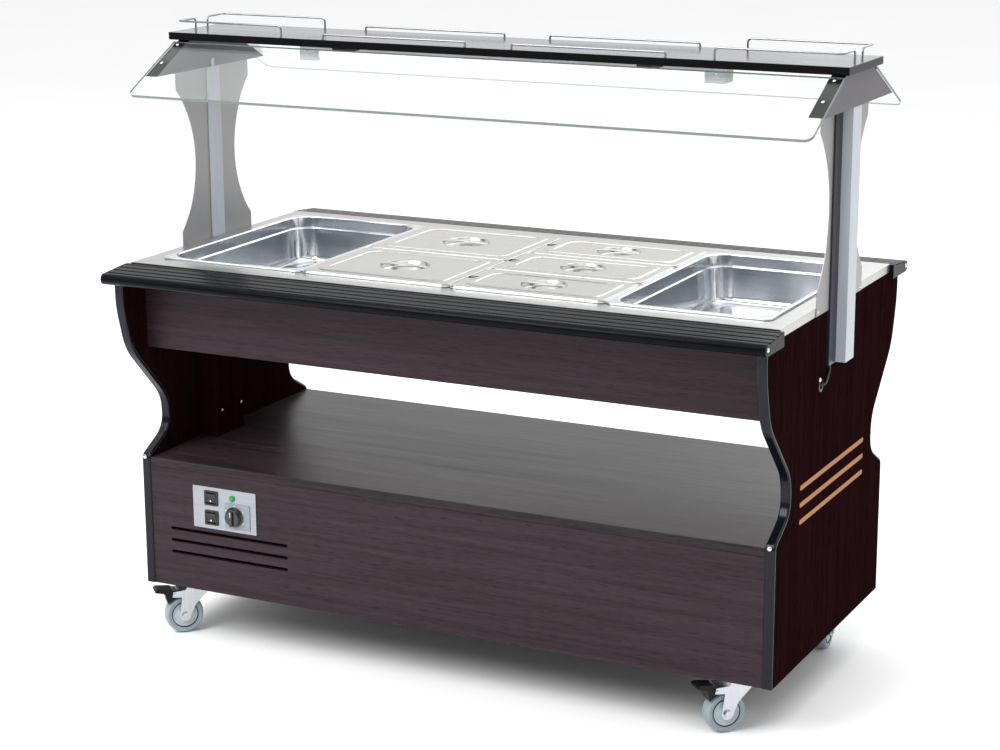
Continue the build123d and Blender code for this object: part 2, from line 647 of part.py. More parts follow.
with BuildPart() as control_bodies:
    for z in SWITCH_Z:
        with BuildSketch(Plane.XZ.offset(-PLATE_Y)):
            with Locations((SWITCH_X, z)):
                RectangleRounded(32, 31, 2)
        extrude(amount=2)
        with BuildSketch(Plane.XZ.offset(-PLATE_Y)):
            with Locations((SWITCH_X, z)):
                Rectangle(26.6, 25.6)
        extrude(amount=-24)
        with BuildSketch(Plane.XZ.offset(2 - PLATE_Y)):
            with Locations((SWITCH_X, z)):
                Rectangle(ROCKER_W + 1, 2 * ROCKER_R + 1)
        extrude(amount=-20.5, mode=Mode.SUBTRACT)
    x, z = KNOB
    span((x - 24, x + 24), (2 - FACE_Y, 36 - FACE_Y), (z - 24, z + 24))
    with BuildSketch(Plane.XZ.offset(FACE_Y - 2)):
        with Locations(KNOB):
            Circle(3.06)
    extrude(amount=-16, mode=Mode.SUBTRACT)
save(control_bodies, "control_bodies")


def rocker(z):
    """Rocker with a dished face, round about its pivot, resting with its foot pressed."""
    tilt = radians(-7)
    face = [(6.4, 0), (8.6, 13), (-5, 13), (-5, -13), (8.6, -13)]
    turned = [(-a * cos(tilt) + b * sin(tilt), a * sin(tilt) + b * cos(tilt)) for a, b in face]
    with BuildPart() as body:
        with BuildSketch(Plane.YZ.offset(SWITCH_X - ROCKER_W / 2)):
            with Locations((PIVOT_Y, z)):
                Circle(ROCKER_R)
            Polygon(*[(PIVOT_Y + a, z + b) for a, b in turned], align=None, mode=Mode.INTERSECT)
        extrude(amount=ROCKER_W)
    return body


save(rocker(SWITCH_Z[0]), "heat_rocker")
save(rocker(SWITCH_Z[1]), "light_rocker")

with BuildPart() as thermostat_knob:
    with BuildSketch(Plane.XZ.offset(2.2 - PLATE_Y)):
        with Locations(KNOB):
            Circle(21)
    extrude(amount=3)
    with BuildSketch(Plane.XZ.offset(5.2 - PLATE_Y)):
        with Locations(KNOB):
            Circle(18)
    extrude(amount=9, taper=6)
    with BuildSketch(Plane.XZ.offset(14.2 - PLATE_Y)):
        with Locations(KNOB):
            Rectangle(7, 33)
    extrude(amount=5, taper=4)
    with BuildSketch(Plane.XZ.offset(2.2 - PLATE_Y)):
        with Locations(KNOB):
            Circle(3)
    extrude(amount=-14)
save(thermostat_knob, "thermostat_knob")

with BuildPart() as pilot_lamp:
    with BuildSketch(Plane.XZ.offset(-PLATE_Y)):
        with Locations(PILOT):
            Circle(7)
    extrude(amount=2)
    with BuildSketch(Plane.XZ.offset(2 - PLATE_Y)):
        with Locations(PILOT):
            Circle(5)
    extrude(amount=2.5, taper=15)
    with BuildSketch(Plane.XZ.offset(-PLATE_Y)):
        with Locations(PILOT):
            Circle(4.8)
    extrude(amount=-18)
save(pilot_lamp, "pilot_lamp")

with BuildPart() as mains_inlet:
    for radius, start, end in ((10, -26, 0), (16, -22, -18), (15, 0, 6), (11, 6, 18)):
        with BuildSketch(Plane.XZ.offset(-FACE_Y - end)):
            with Locations(INLET):
                Circle(radius)
        extrude(amount=end - start)
    with BuildSketch(Plane.XZ.offset(-FACE_Y - 18)):
        with Locations(INLET):
            Circle(4.5)
    extrude(amount=46, mode=Mode.SUBTRACT)
save(mains_inlet, "mains_inlet")

# ---- Casters ------------------------------------------------------------------------
TYRE_W = 30
HUB_R = 27
CROWN_Z = BASE_Z - 9 - GAP  # top of a fork
FORK_IN = TYRE_W / 2 + 2  # inner face of a fork cheek
CHEEK = 2.5
PIN_R = 6  # king pin
BORE = 4.06  # hub bore on the 4 mm radius axle bolt
PEDAL_PIVOT = (53, 87)  # trail and height of the pedal pin
CASTERS = {
    "front_left": (-CASTER_X, -CASTER_Y, 225),
    "front_right": (CASTER_X, -CASTER_Y, 225),
    "rear_left": (-CASTER_X, CASTER_Y, 235),
    "rear_right": (CASTER_X, CASTER_Y, 275),
}


def caster_plane(place):
    """Vertical plane of a wheel: X along the trail, Y up, origin under the swivel."""
    x, y, heading = place
    turn = radians(heading)
    return Plane(origin=(x, y, 0), x_dir=(cos(turn), sin(turn), 0), z_dir=(sin(turn), -cos(turn), 0))


def caster_fork(place, pedal):
    """Pressed fork: crown under the race, two cheeks, axle bolt and pedal pin."""
    plane = caster_plane(place)
    with BuildPart() as fork:
        with BuildSketch(Plane(origin=(place[0], place[1], CROWN_Z))):
            Circle(26)
        extrude(amount=-3)
        with BuildSketch(Plane(origin=(place[0], place[1], CROWN_Z - 8))):
            Circle(PIN_R)
        extrude(amount=BASE_Z - 2 - CROWN_Z + 8)
        for start in (FORK_IN, -FORK_IN - CHEEK):
            with BuildSketch(plane.offset(start)):
                with BuildLine():
                    Polyline((-19, CROWN_Z), (24, CROWN_Z), (30, CROWN_Z - 8))
                    if pedal:
                        Polyline((30, CROWN_Z - 8), (56, 93), (58, 82), (38, 80), (TRAIL + 12, 40))
                    else:
                        Polyline((30, CROWN_Z - 8), (TRAIL + 12, 40))
                    ThreePointArc((TRAIL + 12, 40), (TRAIL, 28), (TRAIL - 12, 40))
                    Polyline((TRAIL - 12, 40), (10, 62), (-19, CROWN_Z - 12), (-19, CROWN_Z))
                make_face()
            extrude(amount=CHEEK)
        with BuildSketch(plane.offset(-FORK_IN - CHEEK - 5)):
            with Locations((TRAIL, WHEEL_R)):
                Circle(4)
        extrude(amount=2 * (FORK_IN + CHEEK + 5))
        for start in (FORK_IN + CHEEK, -FORK_IN - CHEEK - 5):
            with BuildSketch(plane.offset(start)):
                with Locations((TRAIL, WHEEL_R)):
                    RegularPolygon(7.5, 6)
            extrude(amount=5)
        if pedal:
            with BuildSketch(plane.offset(-FORK_IN - CHEEK - 2)):
                with Locations(PEDAL_PIVOT):
                    Circle(2.5)
            extrude(amount=2 * (FORK_IN + CHEEK + 2))
    return fork


def caster_wheel(place):
    """Wheel of a grooved hub and a crowned tyre, bored for the axle bolt."""
    plane = caster_plane(place)
    axle = plane.from_local_coords((TRAIL, WHEEL_R, 0))
    half = TYRE_W / 2
    with BuildPart() as wheel:
        with BuildSketch(Plane(origin=axle, x_dir=(0, 0, 1), z_dir=plane.x_dir)):
            with BuildLine():
                Polyline((HUB_R, half - 2), (HUB_R, 2 - half), (34, -half), (36, -half))
                ThreePointArc((36, -half), (WHEEL_R, 0), (36, half))
                Polyline((36, half), (34, half), (HUB_R, half - 2))
            make_face()
            right = [(BORE, 0), (BORE, half + 1), (12, half + 1), (13, half - 4), (22, half - 5), (24, half - 2), (HUB_R, half - 2)]
            left = [(radius, -side) for radius, side in reversed(right[1:])]
            Polygon(*right, *left, align=None)
        revolve(axis=Axis(axle, plane.z_dir))
    return wheel


def brake_pedal(place):
    """Foot pedal on the fork's pin, with the brake shoe under it."""
    plane = caster_plane(place)
    half = FORK_IN - 1
    x, z = PEDAL_PIVOT
    with BuildPart() as pedal:
        with BuildSketch(plane.offset(-half)):
            with BuildLine():
                Polyline((x - 6, z - 3), (x - 6, z + 5), (x + 6, z + 11), (x + 34, z + 14))
                Polyline((x + 34, z + 14), (x + 40, z + 11), (x + 40, z + 7), (x + 20, z + 3))
                Polyline((x + 20, z + 3), (x + 14, z - 20), (x + 4, z - 12), (x - 6, z - 3))
            make_face()
            with Locations((x, z)):
                Circle(2.56, mode=Mode.SUBTRACT)
        extrude(amount=2 * half)
        across = pedal.edges().filter_by(Axis((0, 0, 0), plane.z_dir))
        fillet(across.sort_by(Axis((0, 0, 0), plane.x_dir))[-2:], 1.5)
    return pedal


with BuildPart() as caster_plates:
    for x, y, heading in CASTERS.values():
        span((x - 46, x + 46), (y - 36, y + 36), (BASE_Z - 3, BASE_Z))
        with Locations((x, y, BASE_Z - 3)):
            Cylinder(25, 6, align=(Align.CENTER, Align.CENTER, Align.MAX))
        with Locations(*[(x + 37 * a, y + 27 * b, BASE_Z - 3) for a in (-1, 1) for b in (-1, 1)]):
            Cylinder(5, 3, align=(Align.CENTER, Align.CENTER, Align.MAX))
        with Locations((x, y, BASE_Z)):
            Hole(PIN_R + 0.06)
save(caster_plates, "caster_plates")

for name, place in CASTERS.items():
    braked = name.startswith("front")
    save(caster_fork(place, braked), f"{name}_fork")
    save(caster_wheel(place), f"{name}_wheel")
    if braked:
        save(brake_pedal(place), f"{name}_pedal")
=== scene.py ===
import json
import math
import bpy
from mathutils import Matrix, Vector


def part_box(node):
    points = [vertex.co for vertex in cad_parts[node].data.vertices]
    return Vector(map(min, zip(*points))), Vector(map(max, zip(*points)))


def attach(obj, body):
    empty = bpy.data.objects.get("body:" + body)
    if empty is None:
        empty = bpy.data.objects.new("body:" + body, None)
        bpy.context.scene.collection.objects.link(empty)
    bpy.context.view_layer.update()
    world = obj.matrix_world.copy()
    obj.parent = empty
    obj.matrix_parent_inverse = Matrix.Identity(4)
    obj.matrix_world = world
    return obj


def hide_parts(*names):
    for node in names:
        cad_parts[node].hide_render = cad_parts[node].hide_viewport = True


bl_info = {
    "name": "Heated Buffet Cart",
    "version": (1, 0, 0),
    "blender": (4, 5, 0),
    "location": "3D View > Sidebar > Buffet Cart",
    "description": "Surfaces and finishes of a heated buffet cart with food pans and a lit glass canopy",
    "category": "Object",
}

import bmesh
import bpy
import numpy as np
from bpy.props import FloatProperty, FloatVectorProperty, PointerProperty
from mathutils import Matrix, Vector

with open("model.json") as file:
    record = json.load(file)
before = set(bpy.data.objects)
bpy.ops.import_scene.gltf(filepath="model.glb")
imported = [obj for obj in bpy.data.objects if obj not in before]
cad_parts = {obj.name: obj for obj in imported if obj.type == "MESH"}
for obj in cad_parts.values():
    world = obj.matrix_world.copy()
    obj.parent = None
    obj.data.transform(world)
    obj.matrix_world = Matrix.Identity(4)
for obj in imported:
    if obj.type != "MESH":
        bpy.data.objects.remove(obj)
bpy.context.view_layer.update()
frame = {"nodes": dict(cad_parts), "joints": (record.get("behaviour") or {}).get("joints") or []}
MM = 0.001
CASTERS = ("front_left", "front_right", "rear_left", "rear_right")
PANS = (
    "left_pan", "right_pan", "front_half_pan", "rear_half_pan", "front_third_pan", "middle_third_pan", "rear_third_pan"
)
LIDS = ("front_half_lid", "rear_half_lid", "front_third_lid", "middle_third_lid", "rear_third_lid")
JOINTS = {joint["name"]: joint for joint in frame["joints"]}

# Places that no CAD box gives, in metres unless their name says otherwise.
GROOVE_HEIGHTS_MM = (396, 429, 462)
GLASS_NORMAL_Y, GLASS_NORMAL_Z = 0.463, 0.886
CORNER_RAIL_END, SIDE_RAIL_FOOT = 0.465, 0.022
STRAIGHT_RAIL_START, STRAIGHT_RAIL_END = 0.05, 0.368
BASE_SCREW = (0.6775, 0.3138, 0.3835)
GROMMET_SCREW = (0.6880, -0.0935, 0.6475)


# ---- Mesh work ----------------------------------------------------------------------


def linear(code, alpha=1.0):
    """sRGB hex code to a linear RGBA tuple: c / 12.92 below 0.04045, ((c + 0.055) / 1.055) ** 2.4 above."""
    levels = [int(code[i : i + 2], 16) / 255 for i in (1, 3, 5)]
    return (*[c / 12.92 if c <= 0.04045 else ((c + 0.055) / 1.055) ** 2.4 for c in levels], alpha)


def place(name, mesh, finish, body, replaced=()):
    """Link a finished mesh at the origin, give it its material and let it ride on its CAD body."""
    piece = bpy.data.objects.new(name, mesh)
    bpy.context.scene.collection.objects.link(piece)
    mesh.materials.append(finish)
    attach(piece, body)
    if replaced:
        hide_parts(*replaced)
    return piece


def skin(name, points, wrap_around=True, wrap_along=False, closed=True, sharp=35.0):
    """Mesh of a grid of points (row, column, xyz): each cell is a face. Columns close into a ring where
    wrap_around is set and rows where wrap_along is set. Points that coincide, as at a pole, are merged."""
    rows, columns = points.shape[:2]
    index = np.arange(rows * columns).reshape(rows, columns)
    if wrap_around:
        index = np.concatenate([index, index[:, :1]], axis=1)
    if wrap_along:
        index = np.concatenate([index, index[:1]], axis=0)
    faces = np.stack([index[:-1, :-1], index[:-1, 1:], index[1:, 1:], index[1:, :-1]], axis=-1).reshape(-1, 4)
    return weld(name, points.reshape(-1, 3), faces.tolist(), closed, sharp)


def weld(name, vertices, faces, closed=True, sharp=35.0):
    """Mesh with coinciding vertices merged, open ends of a closed shape capped and faces turned outwards."""
    mesh = bpy.data.meshes.new(name)
    mesh.from_pydata(vertices.tolist(), [], faces)
    work = bmesh.new()
    work.from_mesh(mesh)
    bmesh.ops.remove_doubles(work, verts=work.verts, dist=2e-6)
    if closed:
        rims = [edge for edge in work.edges if edge.is_boundary]
        if rims:
            bmesh.ops.holes_fill(work, edges=rims, sides=0)
        bmesh.ops.recalc_face_normals(work, faces=work.faces)
    work.to_mesh(mesh)
    work.free()
    mesh.polygons.foreach_set("use_smooth", np.ones(len(mesh.polygons), dtype=bool))
    mesh.set_sharp_from_angle(angle=math.radians(sharp))
    return mesh


def bend_path(points, radii, steps=8):
    """Path through the points with each inner corner replaced by a circular arc: the arc's centre lies on
    the corner's bisector at r / sin(half angle), and it touches both runs at r / tan(half angle)."""
    points = np.asarray(points, dtype=float)
    parts = [points[:1]]
    for before, corner, after, radius in zip(points, points[1:], points[2:], radii):
        a = (before - corner) / np.linalg.norm(before - corner)
        b = (after - corner) / np.linalg.norm(after - corner)
        half = np.arccos(np.clip(a @ b, -1, 1)) / 2
        if radius <= 0:
            parts.append(corner[None])
            continue
        centre = corner + (a + b) / np.linalg.norm(a + b) * radius / np.sin(half)
        start = (corner + a * radius / np.tan(half) - centre) / radius
        end = (corner + b * radius / np.tan(half) - centre) / radius
        turn = np.pi - 2 * half
        t = np.linspace(0, 1, steps + 1)[:, None]
        parts.append(centre + radius * (np.sin((1 - t) * turn) * start + np.sin(t * turn) * end) / np.sin(turn))
    parts.append(points[-1:])
    return np.concatenate(parts)


def soft_loop(wide, long, radius, corner=10, side=14):
    """Closed rounded rectangle as (n, 2) points, anticlockwise: quarter circles at the corners and even
    straight runs between them, always with the same number of points."""
    angle = np.linspace(0, np.pi / 2, corner + 1)
    parts = []
    for quarter, (sx, sy) in enumerate(((1, 1), (-1, 1), (-1, -1), (1, -1))):
        centre = np.array([sx * (wide / 2 - radius), sy * (long / 2 - radius)])
        turned = angle + quarter * np.pi / 2
        parts.append(centre + radius * np.column_stack([np.cos(turned), np.sin(turned)]))
    t = np.linspace(0, 1, side + 1)[1:-1, None]
    runs = [parts[k][-1] * (1 - t) + parts[(k + 1) % 4][0] * t for k in range(4)]
    return np.concatenate([row for pair in zip(parts, runs) for row in pair])


def turned(profile, centre, axis, segments=48):
    """Surface of revolution: each (radius, along) point of the profile goes round the axis through centre."""
    axis = np.asarray(axis, dtype=float) / np.linalg.norm(axis)
    side = np.cross(axis, (0, 0, 1) if abs(axis[2]) < 0.9 else (1, 0, 0))
    side /= np.linalg.norm(side)
    up = np.cross(axis, side)
    angle = np.linspace(0, 2 * np.pi, segments, endpoint=False)
    ring = np.cos(angle)[:, None] * side + np.sin(angle)[:, None] * up
    profile = np.asarray(profile, dtype=float)
    return np.asarray(centre) + profile[:, 0, None, None] * ring[None] + profile[:, 1, None, None] * axis


def tube(path, radius, segments=14):
    """Round section carried along a path. Each section's frame is the last one's, turned as little as
    the path's direction asks."""
    path = np.asarray(path, dtype=float)
    direction = np.gradient(path, axis=0)
    direction /= np.linalg.norm(direction, axis=1)[:, None]
    side = np.cross(direction[0], (0.37, 0.61, 0.70))
    sides = []
    for heading in direction:
        side = side - heading * (side @ heading)
        side = side / np.linalg.norm(side)
        sides.append(side)
    sides = np.array(sides)
    ups = np.cross(direction, sides)
    angle = np.linspace(0, 2 * np.pi, segments, endpoint=False)
    ring = np.cos(angle)[None, :, None] * sides[:, None] + np.sin(angle)[None, :, None] * ups[:, None]
    return path[:, None] + radius * ring


def stack(loops, heights, centre=(0, 0), facing="up"):
    """Loops of (n, 2) points, one above the other at the given heights. Facing "up" puts the loops level;
    facing "front" stands them up, with the heights measured towards the guests."""
    loops = np.asarray(loops) + np.asarray(centre)
    level = np.broadcast_to(np.asarray(heights, dtype=float)[:, None], loops.shape[:2])
    if facing == "up":
        return np.stack([loops[..., 0], loops[..., 1], level], axis=-1)
    return np.stack([loops[..., 0], -level, loops[..., 1]], axis=-1)


def pillow(wide, long, thick, radius, edge, centre, base, facing="up"):
    """Rounded-corner block: upright sides, then loops that draw in by edge * (1 - cos a) while they rise
    by edge * sin a, closed flat at both ends."""
    a = np.linspace(0, np.pi / 2, 6)
    inset = np.concatenate([[0, 0], edge * (1 - np.cos(a))])
    rise = np.concatenate([[0, thick - edge], thick - edge + edge * np.sin(a)])
    loops = [soft_loop(wide - 2 * i, long - 2 * i, max(radius - i, 0.2 * radius), 6, 2) for i in inset]
    shrunk = [loops[0] * 1e-4, *loops, loops[-1] * 1e-4]
    heights = base + np.concatenate([[0], rise, [thick]])
    return stack(shrunk, heights, centre, facing)


def islands(mesh):
    """Points of each connected piece of a mesh. Every point starts with its own label and takes the
    lowest label at the other end of its edges, again and again, until none changes."""
    points, ends = np.empty(len(mesh.vertices) * 3), np.empty(len(mesh.edges) * 2, dtype=int)
    mesh.vertices.foreach_get("co", points)
    mesh.edges.foreach_get("vertices", ends)
    points, same = np.unique(np.round(points.reshape(-1, 3), 6), axis=0, return_inverse=True)
    ends = same.reshape(-1)[ends].reshape(-1, 2)
    label, before = np.arange(len(points)), None
    while before is None or (label != before).any():
        before = label.copy()
        lowest = label[ends].min(axis=1)
        np.minimum.at(label, ends[:, 0], lowest)
        np.minimum.at(label, ends[:, 1], lowest)
    return [points[label == which] for which in np.unique(label)]


def screw_head(head, segments=40):
    """Domed cross-recess head fitted over the points of a plain one. Its axis is the direction in which
    the points spread least, with the narrower end outwards. At a share r of the radius it rises by
    1 - 0.75 * r ** 2.4 of the thickness, and the cross is cut down by half the thickness."""
    centre = head.mean(axis=0)
    away = head - centre
    axis = np.linalg.svd(away, full_matrices=False)[2][2]
    rim = away @ axis
    top = np.linalg.norm(away[rim > 0.5 * rim.max()] - axis * rim.max(), axis=1).max()
    bottom = np.linalg.norm(away[rim < 0.5 * rim.min()] - axis * rim.min(), axis=1).max()
    if top > bottom:
        axis, rim = -axis, -rim
    thick = rim.max() - rim.min()
    radius = np.linalg.norm(away - rim[:, None] * axis, axis=1).max()
    foot = centre + axis * rim.min()
    reach = np.array([1, 1, 0.94, 0.84, 0.7, 0.56, 0.48, 0.4, 0.3, 0.2, 0.12, 0.0])
    points = turned(np.column_stack([radius * reach, 0 * reach]), foot, axis, segments)
    side = points[0, 0] - foot
    side /= np.linalg.norm(side)
    local = (points - foot) @ np.column_stack([side, np.cross(axis, side)])
    near = np.minimum(np.abs(local[..., 0]), np.abs(local[..., 1])) / radius
    far = np.linalg.norm(local, axis=-1) / radius
    rise = thick * (1 - 0.75 * np.clip(far, 0, 1) ** 2.4)
    rise = np.where((near < 0.11) & (far < 0.55), rise - 0.5 * thick, rise)
    rise[0] = 0.0
    return points + rise[..., None] * axis


# ---- Finishes -----------------------------------------------------------------------


def add(tree, kind, inputs=None, **settings):
    """Add one node with its settings; an input that is given a socket is linked, any other is set."""
    made = tree.nodes.new(kind)
    for key, value in settings.items():
        setattr(made, key, value)
    for key, value in (inputs or {}).items():
        if isinstance(value, bpy.types.NodeSocket):
            tree.links.new(value, made.inputs[key])
        else:
            made.inputs[key].default_value = value
    return made


def finish(name, **sockets):
    """New material whose shader sockets are set to the given constants."""
    made = bpy.data.materials.new(name)
    made.use_nodes = True
    shader = made.node_tree.nodes["Principled BSDF"]
    for key, value in sockets.items():
        shader.inputs[key.replace("_", " ")].default_value = value
    return made, made.node_tree, shader


def speckle(tree, size, detail=3.0, rough=0.55):
    """Noise on Object coordinates whose lumps measure size = (x, y, z) millimetres."""
    where = add(tree, "ShaderNodeTexCoord").outputs["Object"]
    scaled = add(tree, "ShaderNodeMapping", {"Vector": where, "Scale": [1000 / s for s in size]})
    noise = {"Vector": scaled.outputs[0], "Scale": 1.0, "Detail": detail, "Roughness": rough}
    return add(tree, "ShaderNodeTexNoise", noise).outputs["Fac"]


def two_tone(tree, factor, low, high, first, second):
    """Colour that goes from first to second as factor goes from low to high."""
    ramp = add(tree, "ShaderNodeValToRGB", {"Fac": factor})
    ramp.color_ramp.elements[0].position, ramp.color_ramp.elements[1].position = low, high
    ramp.color_ramp.elements[0].color, ramp.color_ramp.elements[1].color = first, second
    return ramp.outputs["Color"]


def darker(tone, share):
    """The same colour with each channel cut to a share of it."""
    return tuple(share * c for c in tone[:3]) + (1.0,)


def normal(tree):
    """Outputs X, Y and Z of the surface's direction in Object space."""
    direction = add(tree, "ShaderNodeTexCoord").outputs["Normal"]
    return add(tree, "ShaderNodeSeparateXYZ", {"Vector": direction}).outputs


def spread(tree, factor, low, high, start=0.3, end=0.7):
    """Number that goes from low to high while factor goes from start to end."""
    span = {"Value": factor, "From Min": start, "From Max": end, "To Min": low, "To Max": high}
    return add(tree, "ShaderNodeMapRange", span).outputs["Result"]


def wire_up(tree, shader, colour=None, roughness=None, height=None, depth=0.0002, strength=0.4):
    """Link a colour, a roughness and a bump of the given depth in metres to the shader."""
    if colour is not None:
        tree.links.new(colour, shader.inputs["Base Color"])
    if roughness is not None:
        tree.links.new(roughness, shader.inputs["Roughness"])
    if height is not None:
        bump = add(tree, "ShaderNodeBump", {"Height": height, "Strength": strength, "Distance": depth})
        tree.links.new(bump.outputs["Normal"], shader.inputs["Normal"])


def stained_laminate(name, along, base, dark, rough, shine=0.2, top_shine=0.0):
    """Printed melamine laminate in a stained beech: grain bands 9 mm wide and 260 mm long, dark pores of
    1.6 by 26 mm and a satin, slightly embossed press finish. along is the axis that the grain runs on.
    Faces that look up take top_shine where it is given, as a board does that dishes have rubbed."""
    made, tree, shader = finish(name, Specular_IOR_Level=shine)
    band = [9.0, 9.0, 9.0]
    pore = [1.6, 1.6, 1.6]
    band[along], pore[along] = 260.0, 26.0
    bands = speckle(tree, band, 4.0, 0.6)
    pores = speckle(tree, pore, 2.0, 0.5)
    wood = two_tone(tree, bands, 0.32, 0.70, dark, base)
    mark = two_tone(tree, pores, 0.34, 0.48, (0.55, 0.52, 0.52, 1), (1, 1, 1, 1))
    tone = add(tree, "ShaderNodeMixRGB", {"Fac": 1.0, "Color1": wood, "Color2": mark}, blend_type="MULTIPLY")
    wire_up(tree, shader, tone.outputs["Color"], spread(tree, bands, rough - 0.04, rough + 0.08), pores, 0.00008, 0.35)
    if top_shine:
        level = spread(tree, normal(tree)["Z"], shine, top_shine, 0.5, 1.0)
        tree.links.new(level, shader.inputs["Specular IOR Level"])
    return made


def brushed_metal(name, along, tone, dark, rough, grain=1.4, sheen=1.0, relief=0.1):
    """Sheet metal with a directional polish. Its strokes are under 0.2 mm, drawn about 1.4 mm wide so
    that they show, and a cloudy change of gloss over 90 mm that handling leaves."""
    made, tree, shader = finish(name, Metallic=sheen)
    stroke = [grain, grain, grain]
    stroke[along] = 160.0
    strokes = speckle(tree, stroke, 3.0, 0.6)
    clouds = speckle(tree, (90, 90, 90), 2.0)
    colour = two_tone(tree, strokes, 0.3, 0.7, dark, tone)
    even, handled = spread(tree, strokes, rough - 0.02, rough + 0.02), spread(tree, clouds, -0.02, 0.03)
    gloss = add(tree, "ShaderNodeMath", {0: even, 1: handled}, operation="ADD")
    wire_up(tree, shader, colour, gloss.outputs[0], strokes, 0.00002, relief)
    return made


def moulded_plastic(name, tone, rough, grain=0.8, depth=0.00005, coat=0.0, shine=0.5):
    """Injection-moulded or extruded thermoplastic: fine pebbled skin and a faint change of tone."""
    made, tree, shader = finish(name, Specular_IOR_Level=shine, Coat_Weight=coat, Coat_Roughness=0.08)
    skin_grain = speckle(tree, (grain, grain, grain), 2.0)
    clouds = speckle(tree, (45, 45, 45), 2.0)
    shade = darker(tone, 0.82)
    wire_up(
        tree,
        shader,
        two_tone(tree, clouds, 0.3, 0.7, shade, tone),
        spread(tree, skin_grain, rough - 0.03, rough + 0.06),
        skin_grain,
        depth,
        0.3,
    )
    return made


def colour(name, description, code):
    """Colour property with an sRGB hex default."""
    return FloatVectorProperty(
        name=name, description=description, default=linear(code), subtype="COLOR", size=4, min=0.0, max=1.0
    )


def length(name, description, millimetres, low=0.0, high=10000.0):
    """Length property with a default in millimetres."""
    return FloatProperty(
        name=name,
        description=description,
        default=millimetres * MM,
        min=low * MM,
        max=high * MM,
        subtype="DISTANCE",
        unit="LENGTH",
        precision=5,
    )


def dress(made, *nodes):
    """Give CAD nodes a material."""
    for node in nodes:
        mesh = frame["nodes"][node].data
        mesh.materials.clear()
        mesh.materials.append(made)


def corners(node):
    """Lowest and highest corner of a CAD node's box, as two arrays."""
    low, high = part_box(node)
    return np.array(low), np.array(high)


def middle(node):
    """Centre and size of a CAD node's box, as two arrays."""
    low, high = corners(node)
    return (low + high) / 2, high - low


# ---- Sizes and colours --------------------------------------------------------------


class BuffetStage(bpy.types.PropertyGroup):
    """Camera, floor and light"""

    floor_colour: colour("Floor", "Colour of the studio floor", "#FBFBFB")
    lens: FloatProperty(
        name="Lens", description="Focal length on a 36 mm wide sensor", default=83.93, min=10.0, unit="CAMERA"
    )
    azimuth: FloatProperty(
        name="Azimuth", description="Turn of the camera round the cart", default=math.radians(26.615), subtype="ANGLE"
    )
    elevation: FloatProperty(
        name="Elevation", description="Camera's fall below level", default=math.radians(14.34), subtype="ANGLE"
    )
    roll: FloatProperty(
        name="Roll", description="Turn of the camera about its own axis", default=math.radians(-0.233), subtype="ANGLE"
    )
    position: FloatVectorProperty(
        name="Position",
        description="Place of the camera",
        default=(2.02993, -4.09171, 1.72661),
        subtype="TRANSLATION",
        unit="LENGTH",
        size=3,
    )
    key_power: FloatProperty(
        name="Key Light",
        description="Power of the soft light over the guests' side",
        default=150.0,
        min=0.0,
        unit="POWER",
    )


class BuffetWood(bpy.types.PropertyGroup):
    """Laminate boards"""

    stain: colour("Stain", "Light tone of the stained laminate", "#382930")
    stain_dark: colour("Dark Stain", "Dark tone of the stained laminate", "#261A1F")
    end_stain: colour("End Stain", "Light tone of the end panels", "#241114")
    end_dark: colour("End Dark Stain", "Dark tone of the end panels", "#180A0C")
    deck: colour("Deck", "Light tone of the storage deck", "#3A3033")
    deck_dark: colour("Deck Dark", "Dark tone of the storage deck", "#272022")
    core: colour("Board Core", "Bare board inside the routed grooves", "#B27A4C")
    edge: colour("Edge Moulding", "Colour of the black edge moulding", "#0A0D17")


class BuffetMetal(bpy.types.PropertyGroup):
    """Metal parts"""

    steel: colour("Stainless Steel", "Satin stainless sheet", "#C2C2C0")
    steel_dark: colour("Stainless Strokes", "Darker strokes of the polish", "#B2B2B0")
    wing: colour("Wing Sheet", "Satin sheet of the side wings", "#9C9B9C")
    post: colour("Post", "Anodised aluminium of the posts", "#BCC2CA")
    bracket: colour("Bracket", "Outer face of the shelf brackets", "#5F5C62")
    # Painted shade: the near-black tone given to the bracket slopes under the glass.
    bracket_seat_shade: colour("Bracket Seat Shade", "Dark sloping seats under the glass", "#19171A")
    zinc: colour("Zinc", "Zinc plating of the casters", "#C9CDD1")
    wire: FloatProperty(
        name="Wire Radius",
        description="Radius of the chrome rail wire",
        default=2.0 * MM,
        min=0.5 * MM,
        unit="LENGTH",
        precision=5,
    )


class BuffetPlastic(bpy.types.PropertyGroup):
    """Plastic, rubber and glass"""

    ledge: colour("Ledge", "Glossy tray ledges", "#0B0C11")
    black: colour("Black Plastic", "Switches, knob and covers", "#0C0D0F")
    cover: colour("Cable Cover", "Dark blue-grey cable cover", "#131822")
    bezel: colour("Bezel", "Grey thermostat bezel", "#8D949B")
    tyre: colour("Tyre", "Grey rubber tyre", "#94A3AB")
    hub: colour("Hub", "Light grey wheel hub", "#BAC5CB")
    pilot: colour("Pilot Lamp", "Green lens of the pilot lamp", "#0F9A50")
    glass: colour("Glass", "Tint of the clear glass", "#FBFEFD")
    # Shelf grey: partly the laminate's tone, partly a painted reflection of the room in the glossy top.
    shelf: colour("Shelf", "Glossy grey top of the shelf", "#4A4F57")


class BuffetPans(bpy.types.PropertyGroup):
    """Food pans and lids"""

    rim: length("Rim Width", "Width of a pan's rim", 11.0)
    corner: length("Pan Corner", "Radius of a pan's inner corner", 48.0)
    step: length("Step Depth", "Depth of the stacking step", 24.0)
    sheet: length("Sheet", "Thickness of pans and lids", 0.9)
    bead: length("Bead", "Height of the bead pressed into a lid", 2.0)
    half_grip: length("Half Lid Grip", "Radius of a half lid's sunken grip", 50.0)
    third_grip: length("Third Lid Grip", "Radius of a third lid's sunken grip", 45.0)


# ---- Operators ----------------------------------------------------------------------


